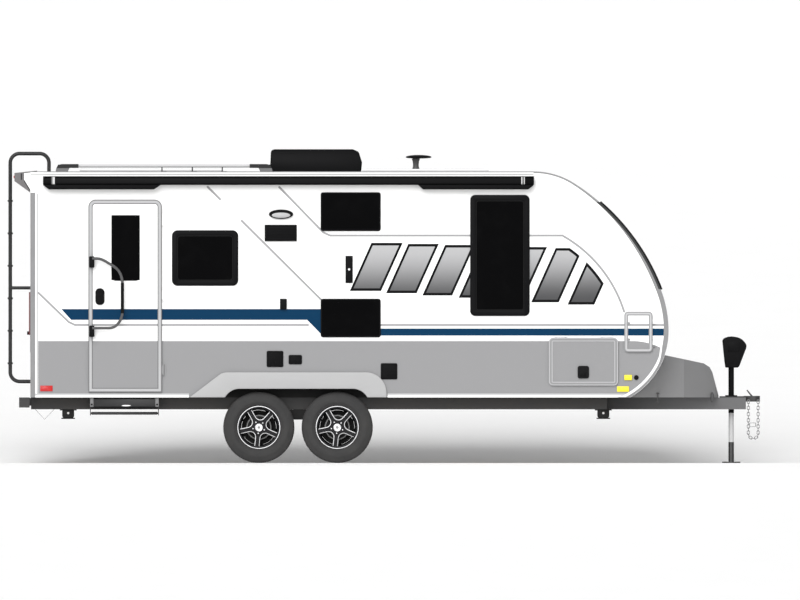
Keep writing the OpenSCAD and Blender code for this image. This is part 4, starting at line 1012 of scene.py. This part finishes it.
# Coupler and chains: a pressed steel socket with its lever, and two loops of welded, galvanised links.
# The coupler is painted black with the chassis, and each chain is hung from the two bars under it.
soften("coupler", 0.003, chassis_paint)
galvanised, shader, place = finish("galvanised_steel", (0.42, 0.42, 0.43), 0.42, 0.85)
spangle = place.node("ShaderNodeTexVoronoi", {}, {"Vector": place, "Scale": 140.0})
feed(shader, Base_Color=over(spangle, (0.16, 0.16, 0.165), (0.32, 0.32, 0.325)),
     Roughness=0.34 + noise(place, 60, 3.0) * 0.2)
paint(galvanised, "safety_chains")
tube("rear_stay", [(-3.368, -0.879, 0.519), (-3.278, -0.879, 0.421), (-3.184, -0.879, 0.519)], 0.002, galvanised,
     2)
slip_corners = [(3.585, 0.387), (3.526, 0.387), (3.526, 0.351), (3.585, 0.351), (3.585, 0.387)]
slip_link = [(at_x, -0.068, at_z) for at_x, at_z in slip_corners]
tube("slip_link", fillet(slip_link, 0.008, 4), 0.0032, galvanised, 2)


# Stabilizers, hanger gussets and tongue fittings: small welded steel pieces, painted black like the axles.
# Each stabilizer has a foot plate, a head plate and a pale pivot bolt.
# Studs with nuts, and oval catches in the same paint, hold the gas locker down.
def black_slab(name, low, high, edge):
    slab(name, low, high, edge, low_black)


soften("stabilizers", 0.004, low_black)
for name, side in sides:
    near, far = side * 0.6, side * 0.9
    for count, at_x in enumerate((-3.05, 2.114)):
        black_slab(f"stabilizer_foot_{name}_{count}", (at_x - 0.066, near, 0.4252), (at_x + 0.066, far, 0.437), 0.003)
        black_slab(f"stabilizer_head_{name}_{count}", (at_x - 0.082, near, 0.507), (at_x + 0.082, far, 0.5178), 0.003)
        stud(f"stabilizer_bolt_{name}_{count}", (at_x, side * 0.8995, 0.482), side, 0.011, 0.005, pale_pull)
    black_slab(f"hanger_gusset_{name}", (-0.935, side * 0.8985, 0.446), (-0.729, side * 0.9035, 0.5178), 0.002)
    rods = [(f"locker_stud_{name}", 0.585, 0.678, 0.005), (f"locker_nut_{name}_low", 0.586, 0.598, 0.013),
            (f"locker_nut_{name}_top", 0.666, 0.678, 0.013)]
    for rod, low_z, top_z, radius in rods:
        run = [(2.64, side * 0.7485, at_z) for at_z in (low_z, top_z)]
        tube(rod, run, radius, handle_paint, 2)
    catch_x, catch_y, waist_z = 3.165, side * 0.368, 0.626
    catch = ball(f"locker_catch_{name}", (catch_x, catch_y, waist_z + 0.006), (0.042, 0.06, 0.1), 24, 16)
    pick(catch, "VERT", lambda middle, part: middle.z < waist_z)
    bpy.ops.transform.resize(value=(0.85, 0.85, 1), center_override=(catch_x, catch_y, waist_z))
    close(catch, handle_paint)
    fit(catch, "caravan")


# Studio: a pale floor under soft daylight panels, and a camera square to the kerb side.
# The floor is flat under the caravan. It rises gently behind and falls away in front, so it shows in a level view.
floor_paint = coated("studio_floor", (0.99, 0.99, 0.99), 0.8, 3.0, 0.0005, tint=0.01, specular=0.1)
bpy.ops.object.select_all(action="DESELECT")
bpy.ops.mesh.primitive_plane_add(size=2, location=(0, 0, 0))
studio_floor = started("studio_floor", (100, 1.5, 1))
floor_reach, floor_slope = 130, 0.09
for side in (1, -1):
    pick(studio_floor, "EDGE", lambda middle, part: side * middle.y > 1.4)
    slope_end = (0, side * floor_reach, side * floor_reach * floor_slope)
    bpy.ops.mesh.extrude_region_move(TRANSFORM_OT_translate={"value": slope_end})
close(studio_floor, floor_paint)

lights = [("key_panel", (-3, -9, 7), 2.9, 45), ("fill_panel", (7, -8, 3), 0.5, 60),
          ("front_panel", (-1, -10, 1), 1.1, 40)]
for name, shines_from, strength, spread in lights:
    light = bpy.data.lights.new(name, "SUN")
    light.energy = strength
    light.angle = radians(spread)
    lamp = bpy.data.objects.new(name, light)
    lamp.rotation_euler = (-Vector(shines_from)).to_track_quat("-Z", "Y").to_euler()
    bpy.context.scene.collection.objects.link(lamp)
sky = bpy.data.worlds.new("studio_sky")
sky.use_nodes = True
sky.node_tree.nodes["Background"].inputs["Color"].default_value = (1.0, 1.0, 1.0, 1)
sky.node_tree.nodes["Background"].inputs["Strength"].default_value = 0.35
bpy.context.scene.world = sky
bpy.context.scene.view_settings.view_transform = "Standard"

lens = bpy.data.cameras.new("camera")
lens.type = "ORTHO"
lens.ortho_scale = 7.72
lens.clip_end = 3000
camera = bpy.data.objects.new("camera", lens)
camera.location = (0.152, -260, 1.573)
camera.rotation_euler = (pi / 2, 0, 0)
bpy.context.scene.collection.objects.link(camera)
bpy.context.scene.camera = camera
